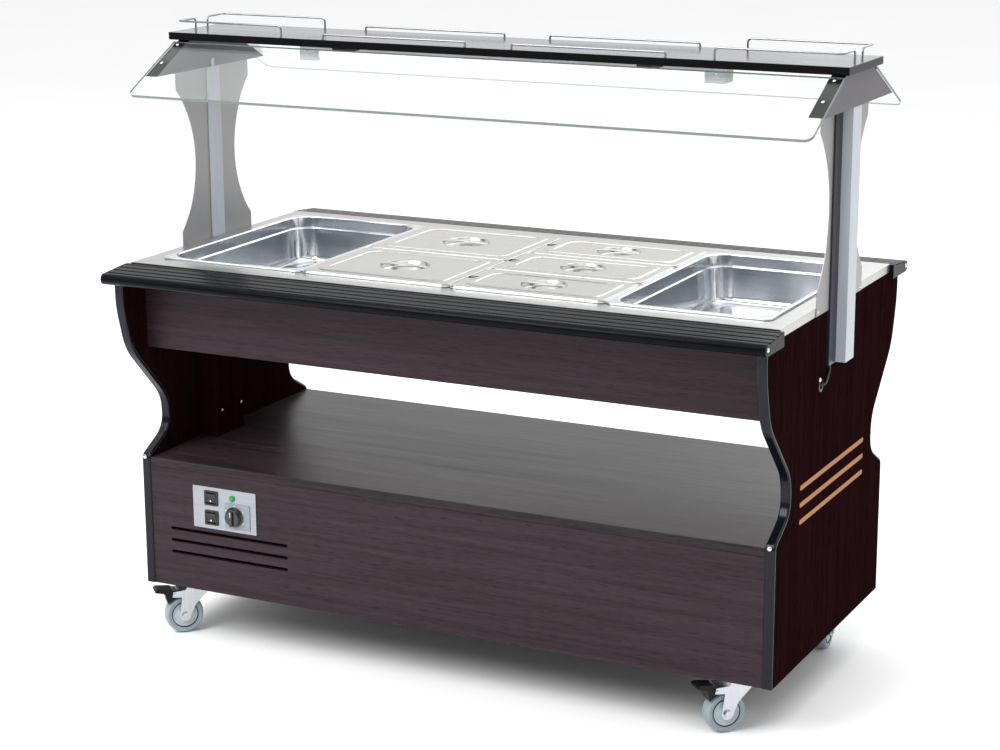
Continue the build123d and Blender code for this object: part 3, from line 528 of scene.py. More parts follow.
class BUFFET_OT_stage(bpy.types.Operator):
    """Set up the floor, the soft studio light and the camera"""

    bl_idname = "buffet.stage"
    bl_label = "Studio Stage"

    def execute(self, context):
        props = context.scene.buffet_stage
        made, tree, shader = finish("Matt studio paper", Roughness=0.9, IOR=1.3)
        shade = darker(props.floor_colour, 0.985)
        wire_up(tree, shader, two_tone(tree, speckle(tree, (900, 900, 900)), 0.3, 0.7, shade, props.floor_colour))
        across = np.linspace(-40, 40, 3)
        x, y = np.meshgrid(across, across)
        mesh = skin("studio_floor", np.stack([x, y, 0 * x], axis=-1), False, False, closed=False)
        floor = bpy.data.objects.new("studio_floor", mesh)
        mesh.materials.append(made)
        context.scene.collection.objects.link(floor)

        world = bpy.data.worlds.new("studio_air")
        world.use_nodes = True
        tree = world.node_tree
        where = add(tree, "ShaderNodeTexCoord").outputs["Generated"]
        aim = add(
            tree, "ShaderNodeVectorMath", {0: where, 1: (0.0, 1.0, 1.6)}, operation="DOT_PRODUCT"
        ).outputs["Value"]
        sky = two_tone(tree, spread(tree, aim, 0.0, 1.0, -1.0, 1.0), 0.30, 0.52, linear("#7B8087"), linear("#FFFFFF"))
        tree.links.new(sky, tree.nodes["Background"].inputs["Color"])
        tree.nodes["Background"].inputs["Strength"].default_value = 1.0
        context.scene.world = world
        context.scene.view_settings.view_transform = "Standard"

        lights = (
            ("key_softbox", (-1.6, -3.4, 3.6), (0.0, 0.0, 0.7), 2.6, props.key_power),
            ("fill_softbox", (3.8, -1.6, 2.6), (0.4, 0.0, 0.6), 2.0, 5.0),
            ("back_softbox", (0.4, 3.6, 3.4), (0.0, 0.0, 0.9), 3.0, 40.0),
            ("top_softbox", (0.0, 0.0, 4.4), (0.0, 0.0, 0.0), 6.5, 150.0),
        )
        for name, spot, aim, size, power in lights:
            lamp = bpy.data.lights.new(name, "AREA")
            lamp.shape, lamp.size, lamp.energy = "SQUARE", size, power
            holder = bpy.data.objects.new(name, lamp)
            holder.location = spot
            holder.rotation_euler = (Vector(aim) - Vector(spot)).to_track_quat("-Z", "Y").to_euler()
            context.scene.collection.objects.link(holder)

        turn, fall = props.azimuth, props.elevation
        ahead = Vector((-math.sin(turn) * math.cos(fall), math.cos(turn) * math.cos(fall), -math.sin(fall)))
        right = Vector((math.cos(turn), math.sin(turn), 0))
        up = right.cross(ahead)
        tilted = right * math.cos(props.roll) + up * math.sin(props.roll)
        raised = up * math.cos(props.roll) - right * math.sin(props.roll)
        camera = bpy.data.objects.new("studio_camera", bpy.data.cameras.new("studio_camera"))
        camera.data.lens, camera.data.sensor_width = props.lens, 36.0
        camera.matrix_world = Matrix.Translation(props.position) @ Matrix(
            (tilted, raised, -ahead)
        ).transposed().to_4x4()
        context.scene.collection.objects.link(camera)
        context.scene.camera = camera
        return {"FINISHED"}


class BUFFET_OT_boards(bpy.types.Operator):
    """Finish the laminate boards, the edge mouldings and the routed grooves"""

    bl_idname = "buffet.boards"
    bl_label = "Boards"

    def execute(self, context):
        wood = context.scene.buffet_wood
        # Wine-brown boards with a dull, darker grain; the end panels are nearly black-brown.
        level = stained_laminate("Stained beech laminate, level grain", 0, wood.stain, wood.stain_dark, 0.42)
        upright = stained_laminate("Stained beech laminate, upright grain", 2, wood.end_stain, wood.end_dark, 0.4, 0.0)
        # The deck looks grey from above, where it mirrors the room, and brown on its edge.
        deck = stained_laminate("Worn beech laminate, level grain", 0, wood.deck, wood.deck_dark, 0.34, 0.1, 0.45)
        dress(level, "aprons", "front_lower_panel", "rear_lower_panel")
        dress(upright, "left_end_panel", "right_end_panel", "cable_duct")
        dress(deck, "deck_board", "caster_blocks")
        # A near-black band with a thin bluish highlight along its bend.
        dress(moulded_plastic("Extruded black PVC edging", wood.edge, 0.2, 1.2, shine=0.25), "edge_mouldings")
        # Three dull tan stripes, where the routed board is bare.
        core, tree, shader = finish("Routed bare fibreboard", Roughness=0.8)
        fibres = speckle(tree, (3, 3, 1), 4.0)
        dark = darker(wood.core, 0.72)
        wire_up(tree, shader, two_tone(tree, fibres, 0.3, 0.7, dark, wood.core), None, fibres, 0.0002, 0.5)
        for side, panel in ((-1, "left_end_panel"), (1, "right_end_panel")):
            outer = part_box(panel)[1][0] if side > 0 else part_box(panel)[0][0]
            for number, height in enumerate(GROOVE_HEIGHTS_MM):
                loops = [soft_loop(0.369 - d, 0.0096 - d, 0.0047 - d / 2, 8, 4) for d in (0, 0, 0.0006, 0.004)]
                loops = [loops[0] * 1e-4, *loops, loops[-1] * 1e-4]
                slab = stack(loops, np.array([0, 0, 0.25, 0.3, -0.3, -0.5]) * MM)
                points = np.stack([outer + side * slab[..., 2], slab[..., 0], height * MM + slab[..., 1]], axis=-1)
                place(
                    f"{panel}_groove_{number + 1}", skin(f"groove_{side}_{number}", points), core, "cart"
                )
        return {"FINISHED"}


class BUFFET_OT_worktop(bpy.types.Operator):
    """Finish the stainless worktop, the tank and the bars between the pans"""

    bl_idname = "buffet.worktop"
    bl_label = "Worktop"

    def execute(self, context):
        metal = context.scene.buffet_metal
        # Pale, soft grey with hardly seen strokes; the tank under it is darker.
        dress(
            brushed_metal("Satin stainless sheet, brushed lengthwise", 0, metal.steel, metal.steel_dark, 0.30),
            "worktop",
        )
        dress(brushed_metal("Satin stainless bar", 1, metal.steel, metal.steel_dark, 0.26), "pan_bars")
        dress(brushed_metal("Deep-drawn stainless tank", 0, linear("#A9ABAD"), linear("#8E9092"), 0.34), "well_tank")
        # Grey flakes of two tones on the shield, a dark straw heater and a yellow drain.
        spangle, tree, shader = finish("Hot-dip galvanised sheet", Metallic=1.0)
        flakes = speckle(tree, (14, 14, 14), 1.0)
        wire_up(
            tree,
            shader,
            two_tone(tree, flakes, 0.35, 0.65, linear("#8F9499"), linear("#B9BEC2")),
            spread(tree, flakes, 0.3, 0.5),
        )
        dress(spangle, "heat_shield")
        dress(
            brushed_metal("Heater tube, annealed steel", 0, linear("#7C7570"), linear("#5A5450"), 0.42),
            "heating_element",
        )
        dress(brushed_metal("Turned brass", 2, linear("#C9A35A"), linear("#A8823F"), 0.30), "drain_outlet")
        return {"FINISHED"}


class BUFFET_OT_pans(bpy.types.Operator):
    """Press the food pans: rolled rim, stacking step, tapered wall and rounded floor"""

    bl_idname = "buffet.pans"
    bl_label = "Food Pans"

    def execute(self, context):
        props = context.scene.buffet_pans
        # Bright walls that mirror the room in streaks, with the drawing marks just visible.
        sheet = brushed_metal(
            "Deep-drawn polished stainless sheet", 0, linear("#D6D9DC"), linear("#CBCED2"), 0.14, 2.0, relief=0.02
        )
        for name in PANS:
            centre, size = middle(name)
            low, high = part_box(name)
            top = high[2] - 0.5 * props.sheet
            floor = low[2] + 0.5 * props.sheet - top
            section = [
                (0.4 * MM, -3.6 * MM), (0.4 * MM, 0), (props.rim, 0), (props.rim + 0.4 * MM, -props.step),
                (props.rim + 4 * MM, -props.step - 1 * MM), (props.rim + 10 * MM, floor),
                (props.rim + 52 * MM, floor - 0.3 * MM),
            ]
            section = bend_path(section, [2.2 * MM, 3.0 * MM, 1.6 * MM, 1.8 * MM, 15 * MM], 6)
            inset, height = section[:, 0], top + section[:, 1]
            grow = np.clip((inset - 0.4 * MM) / props.rim, 0, 1)
            radius = 14 * MM + (props.corner - 14 * MM) * grow - np.clip(inset - props.rim, 0, 1) * 0.35
            loops = [soft_loop(size[0] - 2 * i, size[1] - 2 * i, max(r, 4 * MM), 14, 16) for i, r in zip(inset, radius)]
            loops += [loops[-1] * shrink for shrink in (0.6, 0.25, 1e-4)]
            height = np.concatenate([height, np.full(3, height[-1])])
            mesh = skin(name, stack(loops, height, centre[:2])[:, ::-1], closed=False, sharp=50)
            piece = place(f"{name}_pressing", mesh, sheet, name, (name,))
            wall = piece.modifiers.new("sheet", "SOLIDIFY")
            wall.thickness, wall.offset = props.sheet, 0.0
        return {"FINISHED"}


class BUFFET_OT_lids(bpy.types.Operator):
    """Press the lids: raised bead and sunken round grip with its strap; the third lids' spoon notch is not cut but
    painted as a black disc of shade
    """

    bl_idname = "buffet.lids"
    bl_label = "Lids"

    def execute(self, context):
        props = context.scene.buffet_pans
        # Even, pale satin lids, a brighter strap in the grip and a black disc over the spoon notch, painted shade where
        # the open notch shows the dark pan below.
        sheet = brushed_metal("Pressed satin stainless lid", 0, linear("#C8C7C2"), linear("#BEBDB9"), 0.24, 2.0)
        strap_steel = brushed_metal("Pressed stainless grip strap", 0, linear("#D5D6D7"), linear("#BEBFC1"), 0.18)
        # Black for the painted shade of the spoon notch.
        notch_shade = moulded_plastic("Black disc of painted shade in the notch", context.scene.buffet_plastic.black, 0.6, shine=0.0)
        for name in LIDS:
            centre, size = middle(name)
            third = "third" in name
            grip = props.third_grip if third else props.half_grip
            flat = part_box(name.replace("lid", "pan"))[1][2] + 0.8 * MM
            edge_inset = np.array([0.5, 0.5, 1.2, 2.4, 18, 19, 20.2, 21.6, 23.4, 29, 31, 32.4, 33.6, 34.6, 36]) * MM
            bead = props.bead
            swell = np.array([0.12, 0.6, 0.93, 1, 1, 0.93, 0.6, 0.12, 0, 0]) * bead
            edge_rise = np.concatenate([np.array([-1.0, -0.4, 0.1, 0.3, 0.3]) * MM, swell])
            loops = [soft_loop(size[0] - 2 * i, size[1] - 2 * i, 14 * MM + 0.3 * i, 12, 18) for i in edge_inset]
            compass = loops[-1] / np.linalg.norm(loops[-1], axis=1)[:, None]
            dish = bend_path(
                [(grip + 6 * MM, 0), (grip, 0), (grip - 5 * MM, -11 * MM), (grip - 16 * MM, -11.4 * MM)],
                [3 * MM, 4 * MM],
                6,
            )
            blend = np.linspace(0, 1, 5)[1:-1, None, None]
            ring = compass * dish[0, 0]
            loops += list(loops[-1][None] * (1 - blend) + ring[None] * blend)
            loops += [compass * r for r in dish[:, 0]]
            loops += [compass * dish[-1, 0] * s for s in (0.6, 0.3, 1e-4)]
            rise = np.concatenate([edge_rise, [0, 0, 0], dish[:, 1], dish[-1, 1] + np.array([0.5, 1.0, 1.2]) * MM])
            mesh = skin(name, stack(loops, flat + rise, centre[:2])[:, ::-1], closed=False, sharp=60)
            piece = place(f"{name}_pressing", mesh, sheet, name, (name,))
            wall = piece.modifiers.new("sheet", "SOLIDIFY")
            wall.thickness, wall.offset = props.sheet, 0.0
            along = np.linspace(-1, 1, 41)
            arch = flat + (2.6 - 2.2 * np.abs(along) ** 3) * MM
            half_width = (9 - 1.5 * (1 - along**2)) * MM
            rim = np.array([(-1, 0), (-0.86, 0.8), (0.86, 0.8), (1, 0), (0.86, -0.8), (-0.86, -0.8)])
            strap = np.stack([
                np.broadcast_to((centre[0] + along * (grip + 1 * MM))[:, None], (41, 6)),
                centre[1] + half_width[:, None] * rim[:, 0],
                arch[:, None] + rim[:, 1] * MM,
            ], axis=-1)
            place(f"{name}_strap", skin(f"{name}_strap", strap), strap_steel, name)
            if third:
                # The spoon notch is a thin black disc laid on the lid: painted shade standing in for the dark opening.
                spot = (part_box(name)[0][0] + 13 * MM, centre[1])
                shade_loops = [
                    soft_loop(*s, 4.4 * MM, 8, 4)
                    for s in ((24 * MM, 15 * MM), (24 * MM, 15 * MM), (21 * MM, 12 * MM), (18 * MM, 9 * MM))
                ]
                shade_loops = [shade_loops[0] * 1e-4, *shade_loops, shade_loops[-1] * 1e-4]
                points = stack(shade_loops, flat + np.array([0.3, 0.3, 1.3, 1.3, 0.7, 0.7]) * MM, spot)
                place(f"{name}_notch", skin(f"{name}_notch", points), notch_shade, name)
        return {"FINISHED"}


class BUFFET_OT_ledges(bpy.types.Operator):
    """Extrude the glossy tray ledges with their ribs and bull nose"""

    bl_idname = "buffet.ledges"
    bl_label = "Tray Ledges"

    def execute(self, context):
        # Almost black, with a long grey sheen on every rib and on the nose.
        black = moulded_plastic(
            "Extruded gloss black PVC", context.scene.buffet_plastic.ledge, 0.2, 1.0, 0.00003, shine=0.06
        )
        low, high = corners("tray_ledges")
        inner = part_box("worktop")[1][1] + 0.3 * MM
        base, top, nose = low[2], high[2], high[1]
        bend, level = 11 * MM, 14 * MM
        reach = np.linspace(inner + 1 * MM, nose - bend, 140)
        fall = top - np.clip(reach - inner - level, 0, 1) * (6 * MM / (nose - bend - inner - level))
        groove = sum(np.exp(-(((reach - inner - at * MM) / (2.0 * MM)) ** 4)) for at in (14, 34, 54, 74))
        ribbed = np.column_stack([reach, fall - 2.2 * MM * groove])
        angle = np.linspace(np.pi / 2, -np.pi / 2, 17)[1:-1]
        round_nose = np.column_stack([nose - bend + bend * np.cos(angle), base + bend + bend * np.sin(angle)])
        under = np.array([(nose - bend, base), (inner, base), (inner, top - 1 * MM)])
        section = np.concatenate([ribbed, round_nose, under])
        middle_point = section.mean(axis=0)
        stations = np.array([low[0], low[0] + 0.8 * MM, high[0] - 0.8 * MM, high[0]])
        draw = np.array([0.994, 1, 1, 0.994])
        for side, name in ((-1, "front_ledge"), (1, "rear_ledge")):
            flat = middle_point + (section - middle_point) * draw[:, None, None]
            points = np.stack(
                [np.broadcast_to(stations[:, None], flat.shape[:2]), side * flat[..., 0], flat[..., 1]], axis=-1
            )
            ends = [np.broadcast_to(points[k].mean(axis=0), points[k].shape)[None] for k in (0, -1)]
            mesh = skin(name, np.concatenate([ends[0], points, ends[1]]), sharp=40)
            place(name, mesh, black, "cart", ("tray_ledges",) if side < 0 else ())
        return {"FINISHED"}


class BUFFET_OT_canopy(bpy.types.Operator):
    """Finish the posts, wings, brackets, glass, shelf and lamp, and bend the chrome rails"""

    bl_idname = "buffet.canopy"
    bl_label = "Canopy"

    def execute(self, context):
        metal, plastic = context.scene.buffet_metal, context.scene.buffet_plastic
        # Flat bluish silver posts between warm grey wings.
        post = brushed_metal("Anodised aluminium extrusion", 2, metal.post, darker(metal.post, 0.86), 0.42, sheen=0.1)
        dress(post, "posts")
        dress(
            brushed_metal("Satin stainless wing sheet", 2, metal.wing, darker(metal.wing, 0.9), 0.38, sheen=0.5),
            "side_wings",
        )
        # Dark grey folded steel; the slope that carries the glass is painted nearly black as shade.
        bracket, tree, shader = finish("Hammered grey powder coat, seats in painted shade", Specular_IOR_Level=0.2)
        lean = normal(tree)["Z"]
        # Faces that lean upwards take the painted shade tone, the others the plain grey coat.
        tone = two_tone(tree, lean, 0.55, 0.65, metal.bracket, metal.bracket_seat_shade)
        orange_peel = speckle(tree, (1.6, 1.6, 1.6), 2.0)
        wire_up(tree, shader, tone, spread(tree, orange_peel, 0.36, 0.5), orange_peel, 0.00006, 0.3)
        dress(bracket, "shelf_brackets")

        # Clear faces; only the ground edges show, as grey-green lines.
        glass, tree, shader = finish("Toughened float glass with ground edges", IOR=1.25, Specular_IOR_Level=0.3)
        parts = normal(tree)
        flat = add(tree, "ShaderNodeMath", {0: parts["Y"]}, operation="ABSOLUTE").outputs[0]
        flat = add(tree, "ShaderNodeMath", {0: flat, 1: GLASS_NORMAL_Y}, operation="MULTIPLY").outputs[0]
        steep = add(tree, "ShaderNodeMath", {0: parts["Z"]}, operation="ABSOLUTE").outputs[0]
        facing = add(
            tree, "ShaderNodeMath", {0: steep, 1: GLASS_NORMAL_Z, 2: flat}, operation="MULTIPLY_ADD"
        ).outputs[0]
        clear = spread(tree, facing, 0.0, 1.0, 0.93, 0.97)
        edge = two_tone(tree, clear, 0.4, 0.6, linear("#7E8B87"), plastic.glass)
        smudge = speckle(tree, (120, 120, 120), 3.0)
        wire_up(tree, shader, edge, spread(tree, smudge, 0.0, 0.02))
        tree.links.new(clear, shader.inputs["Transmission Weight"])
        dress(glass, "front_glass", "rear_glass")

        # A mirror-like dark grey top inside a black band; the grey of the top is partly the board's own tone and partly
        # a painted reflection of the bright room in the gloss.
        shelf, tree, shader = finish("Gloss laminate board with black edge band", Specular_IOR_Level=0.5)
        upward = normal(tree)["Z"]
        facing = add(tree, "ShaderNodeMath", {0: upward}, operation="ABSOLUTE").outputs[0]
        grain = speckle(tree, (220, 8, 8), 3.0)
        top = two_tone(tree, grain, 0.3, 0.7, darker(plastic.shelf, 0.85), plastic.shelf)
        level = two_tone(tree, facing, 0.86, 0.94, (0, 0, 0, 1), (1, 1, 1, 1))
        blend = add(tree, "ShaderNodeMixRGB", {"Fac": level, "Color1": linear("#020203"), "Color2": top})
        wire_up(tree, shader, blend.outputs["Color"], spread(tree, grain, 0.14, 0.22), grain, 0.00003, 0.2)
        tree.links.new(spread(tree, facing, 0.12, 0.6, 0.86, 0.94), shader.inputs["Specular IOR Level"])
        dress(shelf, "shelf_board")

        # Thin wires, white on one side and dark on the other.
        chrome, tree, shader = finish("Bright chromed steel wire", Metallic=1.0)
        shader.inputs["Base Color"].default_value = linear("#8C8F93")
        tree.links.new(spread(tree, speckle(tree, (6, 6, 6)), 0.10, 0.18), shader.inputs["Roughness"])
        low, high = corners("corner_rails")
        wire = metal.wire
        for row, (sx, sy) in enumerate(((-1, -1), (1, -1), (-1, 1), (1, 1))):
            side = "left" if sx < 0 else "right"
            depth = "front" if sy < 0 else "rear"
            bar, foot = high[2] - wire, low[2]
            y = sy * (high[1] - wire)
            far = high[0] - wire
            route = [
                (sx * CORNER_RAIL_END, y, foot),
                (sx * CORNER_RAIL_END, y, bar),
                (sx * far, y, bar),
                (sx * far, sy * SIDE_RAIL_FOOT, bar),
                (sx * far, sy * SIDE_RAIL_FOOT, foot),
            ]
            path = bend_path(route, [8 * MM] * 3, 8)
            place(
                f"{side}_{depth}_corner_rail",
                skin("rail", tube(path, wire)),
                chrome,
                "cart",
                ("corner_rails",) if row == 0 else (),
            )
            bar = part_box("straight_rails")[1][2] - wire
            route = [
                (sx * STRAIGHT_RAIL_START, y, foot),
                (sx * STRAIGHT_RAIL_START, y, bar),
                (sx * STRAIGHT_RAIL_END, y, bar),
                (sx * STRAIGHT_RAIL_END, y, foot),
            ]
            path = bend_path(route, [4 * MM] * 2, 8)
            place(
                f"{side}_{depth}_straight_rail",
                skin("rail", tube(path, wire)),
                chrome,
                "cart",
                ("straight_rails",) if row == 0 else (),
            )
            feet = [
                (sx * CORNER_RAIL_END, y),
                (sx * far, sy * SIDE_RAIL_FOOT),
                (sx * STRAIGHT_RAIL_START, y),
                (sx * STRAIGHT_RAIL_END, y),
            ]
            collar = [(0, 0), (3.6 * MM, 0), (3.6 * MM, 0.6 * MM), (2.8 * MM, 1.2 * MM), (0, 1.2 * MM)]
            for number, spot in enumerate(feet):
                points = turned(collar, (*spot, foot), (0, 0, 1), 20)
                place(f"{side}_{depth}_rail_foot_{number + 1}", skin("foot", points), chrome, "cart")

        # A white tray and a milky tube that glows faintly; clips, cover and cable are black.
        dress(moulded_plastic("White enamelled lamp tray", linear("#D9DEE3"), 0.3, 3.0), "lamp_housing")
        tube_glow, tree, shader = finish("Opal acrylic lamp cover", IOR=1.49, Roughness=0.35, Emission_Strength=0.5)
        cloud = speckle(tree, (60, 60, 60))
        wire_up(tree, shader, two_tone(tree, cloud, 0.3, 0.7, linear("#F2F4F5"), linear("#FFFFFF")))
        shader.inputs["Emission Color"].default_value = linear("#FFFFFF")
        dress(tube_glow, "lamp_diffuser")
        dress(moulded_plastic("Black nylon glass clip", plastic.black, 0.4), "glass_clips")
        dress(moulded_plastic("Extruded PVC cable cover", plastic.cover, 0.34, 1.0), "cable_cover")
        dress(moulded_plastic("Black PVC cable sheath", plastic.black, 0.42), "light_cable")
        return {"FINISHED"}


class BUFFET_OT_controls(bpy.types.Operator):
    """Turn the thermostat knob and finish the control plate, switches, pilot lamp and mains inlet"""

    bl_idname = "buffet.controls"
    bl_label = "Controls"

    def execute(self, context):
        plastic = context.scene.buffet_plastic
        # A pale bluish plate with black switches.
        dress(
            brushed_metal("Brushed aluminium control plate", 0, linear("#A6AAB1"), linear("#989CA3"), 0.4, 1.2),
            "control_plate",
        )
        black = moulded_plastic("Moulded black ABS", plastic.black, 0.3, 0.6)
        dress(black, "heat_rocker", "light_rocker", "mains_inlet")
        dress(moulded_plastic("Moulded black polyamide", plastic.black, 0.42, 0.6), "control_bodies")

        knob = np.array(JOINTS["thermostat_turn"]["pos_m"])
        front = -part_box("control_plate")[0][1]
        bezel = moulded_plastic("Moulded grey ABS bezel", plastic.bezel, 0.4, 0.7)
        bezel_thick = 2.0 * MM
        plate = pillow(0.060, 0.054, bezel_thick, 3 * MM, 0.8 * MM, (knob[0] + 0.006, knob[2]), front, "front")
        place("thermostat_bezel", skin("thermostat_bezel", plate), bezel, "cart")
        white = moulded_plastic("White printing ink", linear("#F4F4F4"), 0.5, 0.5)
        dot_circle = 0.0235
        for number, turn in enumerate(np.radians([-120, -60, 0, 60, 120])):
            across, above = dot_circle * math.sin(turn), dot_circle * math.cos(turn)
            spot = (knob[0] + across, -front - bezel_thick, knob[2] + above)
            dot = turned([(0, 0), (1.3 * MM, 0), (1.3 * MM, 0.15 * MM), (0, 0.15 * MM)], spot, (0, -1, 0), 16)
            place(f"thermostat_dot_{number + 1}", skin("dot", dot), white, "cart")

        shine = moulded_plastic("Moulded gloss black phenolic", plastic.black, 0.22, 0.6, coat=0.4)
        hub = (knob[0], -front, knob[2])
        skirt = bend_path(
            [(0, 2.3), (20.6, 2.3), (21.0, 4.6), (18.2, 5.4), (16.6, 14.0), (0, 14.4)], [0.3, 0.6, 0.8, 1.6], 5
        ) * MM
        place(
            "thermostat_skirt",
            skin("thermostat_skirt", turned(skirt, hub, (0, -1, 0), 56)),
            shine,
            "thermostat_knob",
            ("thermostat_knob",),
        )
        ridge = pillow(0.0075, 0.033, 6.6 * MM, 3.2 * MM, 1.6 * MM, (knob[0], knob[2]), front + 12.6 * MM, "front")
        place("thermostat_grip", skin("thermostat_grip", ridge), shine, "thermostat_knob")
        mark = pillow(
            0.0012, 0.011, 0.35 * MM, 0.5 * MM, 0.1 * MM, (knob[0], knob[2] + 0.009), front + 19.1 * MM, "front"
        )
        place("thermostat_pointer", skin("thermostat_pointer", mark), white, "thermostat_knob")

        # A small emerald dome, lit from inside.
        lens, tree, shader = finish(
            "Moulded green polycarbonate lens", IOR=1.58, Transmission_Weight=0.35, Emission_Strength=0.25
        )
        facets = speckle(tree, (1.2, 1.2, 1.2), 1.0)
        wire_up(
            tree,
            shader,
            two_tone(tree, facets, 0.3, 0.7, darker(plastic.pilot, 0.55), plastic.pilot),
            None,
            facets,
            0.0002,
            0.5,
        )
        shader.inputs["Emission Color"].default_value = plastic.pilot
        shader.inputs["Roughness"].default_value = 0.15
        centre = middle("pilot_lamp")[0]
        dome = bend_path([(0, 0), (6.9, 0), (6.9, 1.8), (5.2, 2.0), (4.4, 3.9), (0, 4.4)], [0.2, 0.6, 0.3, 1.6], 5) * MM
        spot = (centre[0], -front, centre[2])
        place(
            "pilot_lens", skin("pilot_lens", turned(dome, spot, (0, -1, 0), 32)), lens, "cart", ("pilot_lamp",)
        )

        for name in ("heat_rocker", "light_rocker"):
            joint = JOINTS[f"{name}_tilt"]
            pivot = np.array(joint["pos_m"])
            lean = math.radians(-7)
            turn = np.array([[1, 0, 0], [0, math.cos(lean), math.sin(lean)], [0, -math.sin(lean), math.cos(lean)]])
            for mark_name, high_z, wide, tall in (("on", 0.0062, 0.0011, 0.0044), ("off", -0.0062, 0.0036, 0.0036)):
                bar = pillow(wide, tall, 0.25 * MM, 0.45 * wide, 0.08 * MM, (0, high_z), 7.75 * MM, "front")
                place(f"{name}_{mark_name}_mark", skin("mark", bar @ turn + pivot), white, name)
        return {"FINISHED"}


class BUFFET_OT_casters(bpy.types.Operator):
    """Turn the tyres and hubs, and finish the forks, plates and pedals"""

    bl_idname = "buffet.casters"
    bl_label = "Casters"

    def execute(self, context):
        metal, plastic = context.scene.buffet_metal, context.scene.buffet_plastic
        # Bluish white forks, a blue-grey tyre with a dark ring of painted shade in the gap round a lighter hub, black
        # pedals.
        zinc = brushed_metal("Bright zinc-plated pressing", 2, metal.zinc, darker(metal.zinc, 0.86), 0.26, 3.0)
        rubber = moulded_plastic("Moulded grey thermoplastic rubber", plastic.tyre, 0.55, 1.0, 0.0001)
        # Black for the painted shade in the gap between tyre and hub.
        dark = moulded_plastic("Painted shade in the gap between tyre and hub", plastic.black, 0.6, shine=0.1)
        core = moulded_plastic("Moulded grey polypropylene hub", plastic.hub, 0.36, 0.8)
        dress(zinc, "caster_plates", *[f"{name}_fork" for name in CASTERS])
        dress(
            moulded_plastic("Moulded black polyamide pedal", plastic.black, 0.38, 1.0, shine=0.2),
            "front_left_pedal",
            "front_right_pedal",
        )
        tread = [(27.0, 13.0), (31.5, 13.4), (34.2, 15.0), (36.4, 14.8), (38.8, 10.5), (39.9, 4.5), (40.0, 0.0)]
        tread += [(r, -h) for r, h in reversed(tread[:-1])]
        tread = bend_path(tread + [tread[0]], [0.8, 1.2, 1.0, 3.0, 3.0, 3.0, 3.0, 3.0, 1.0, 1.2, 0.8, 0.0], 4)[:-1] * MM
        web = [(4.1, 16.0), (11.4, 16.0), (12.8, 11.5), (21.0, 10.5), (23.6, 13.4), (26.98, 13.0)]
        web += [(r, -h) for r, h in reversed(web)]
        web = bend_path(web + [web[0]], [0.8, 1.6, 2.4, 1.2, 0.4, 0.4, 1.2, 2.4, 1.6, 0.8, 0.0], 4)[:-1] * MM
        for name in CASTERS:
            joint = JOINTS[f"{name}_roll"]
            body = f"{name}_wheel"
            tyre = skin(f"{name}_tyre", turned(tread, joint["pos_m"], joint["axis"], 72), wrap_along=True)
            hub = skin(f"{name}_hub", turned(web, joint["pos_m"], joint["axis"], 72), wrap_along=True)
            place(f"{name}_tyre", tyre, rubber, body, (body,))
            place(f"{name}_hub", hub, core, body)
            # A thin black ring at each face where tyre meets hub: painted shade in the gap between them.
            for side in (-1, 1):
                bead = np.array([(26.0, 13.0), (27.6, 13.0), (27.6, 14.3), (26.0, 14.3)]) * MM * (1, side)
                gap_shade = turned(bead, joint["pos_m"], joint["axis"], 72)
                place(
                    f"{name}_seam_{'outer' if side > 0 else 'inner'}",
                    skin("gap_shade", gap_shade, wrap_along=True),
                    dark,
                    body,
                )
        return {"FINISHED"}


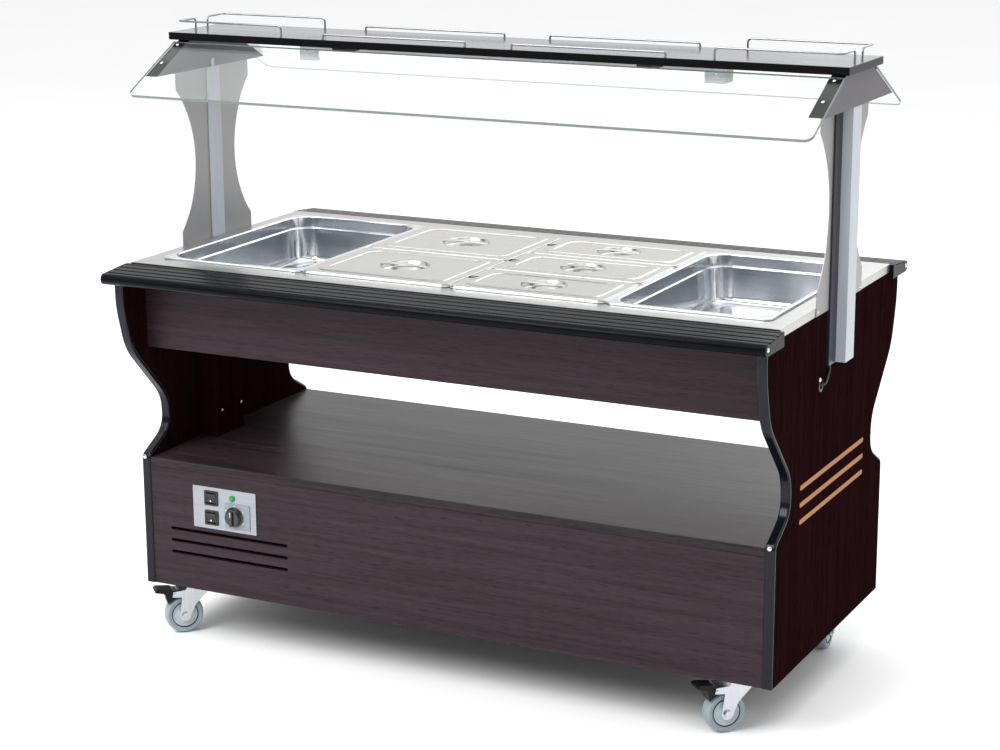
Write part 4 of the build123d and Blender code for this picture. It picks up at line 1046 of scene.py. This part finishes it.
class BUFFET_OT_fasteners(bpy.types.Operator):
    """Set the cross-recess screws of the frame and the plain domed ones of the trim"""

    bl_idname = "buffet.fasteners"
    bl_label = "Fasteners"

    def execute(self, context):
        # Small bright discs.
        bright, tree, shader = finish("Zinc-plated screw head", Metallic=1.0)
        shader.inputs["Base Color"].default_value = linear("#D5D8DB")
        tree.links.new(spread(tree, speckle(tree, (2, 2, 2)), 0.18, 0.3), shader.inputs["Roughness"])
        vertices, faces, count = [], [], 0
        for head in islands(frame["nodes"]["frame_screws"].data):
            points = screw_head(head)
            rows, segments = points.shape[:2]
            index = np.arange(rows * segments).reshape(rows, segments)
            ring = np.concatenate([index, index[:, :1]], axis=1)
            quads = np.stack([ring[:-1, :-1], ring[:-1, 1:], ring[1:, 1:], ring[1:, :-1]], axis=-1)
            faces.append(quads.reshape(-1, 4) + count)
            vertices.append(points.reshape(-1, 3))
            count += rows * segments
        dome = bend_path([(0, 0), (4.6, 0), (4.2, 1.6), (1.8, 2.5), (0, 2.6)], [0.3, 0.8, 1.0], 4) * MM
        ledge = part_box("tray_ledges")
        nose, low_edge = ledge[1][1] - 12 * MM, ledge[0][2] + 12 * MM
        ways = [(side, front) for side in (-1, 1) for front in (-1, 1)]
        spots = [((side * ledge[1][0] - side * 0.4 * MM, front * nose, low_edge), (side, 0, 0)) for side, front in ways]
        spots += [((side * BASE_SCREW[0], front * BASE_SCREW[1], BASE_SCREW[2]), (0, front, 0)) for side, front in ways]
        spots.append((GROMMET_SCREW, (1, 0, 0)))
        for number, (spot, axis) in enumerate(spots):
            place(
                f"trim_screw_{number + 1}",
                skin("trim_screw", turned(dome, spot, axis, 24)),
                bright,
                "cart",
            )
        mesh = weld("frame_screw_heads", np.concatenate(vertices), np.concatenate(faces).tolist(), True, 40)
        place("frame_screw_heads", mesh, bright, "cart", ("frame_screws",))
        return {"FINISHED"}


class BUFFET_PT_panel(bpy.types.Panel):
    """Sidebar panel with the cart's operators"""

    bl_idname = "BUFFET_PT_panel"
    bl_label = "Buffet Cart"
    bl_space_type = "VIEW_3D"
    bl_region_type = "UI"
    bl_category = "Buffet Cart"

    def draw(self, context):
        for maker in OPERATORS:
            self.layout.operator(maker.bl_idname)


GROUPS = {
    "buffet_stage": BuffetStage,
    "buffet_wood": BuffetWood,
    "buffet_metal": BuffetMetal,
    "buffet_plastic": BuffetPlastic,
    "buffet_pans": BuffetPans,
}
OPERATORS = (
    BUFFET_OT_stage,
    BUFFET_OT_boards,
    BUFFET_OT_worktop,
    BUFFET_OT_pans,
    BUFFET_OT_lids,
    BUFFET_OT_ledges,
    BUFFET_OT_canopy,
    BUFFET_OT_controls,
    BUFFET_OT_casters,
    BUFFET_OT_fasteners,
)


def register():
    for group in (*GROUPS.values(), *OPERATORS, BUFFET_PT_panel):
        bpy.utils.register_class(group)
    for name, group in GROUPS.items():
        setattr(bpy.types.Scene, name, PointerProperty(type=group))


def unregister():
    for name in GROUPS:
        delattr(bpy.types.Scene, name)
    for group in reversed((*GROUPS.values(), *OPERATORS, BUFFET_PT_panel)):
        bpy.utils.unregister_class(group)


def main():
    register()
    for maker in OPERATORS:
        area, call = maker.bl_idname.split(".")
        getattr(getattr(bpy.ops, area), call)()


if __name__ == "__main__":
    main()
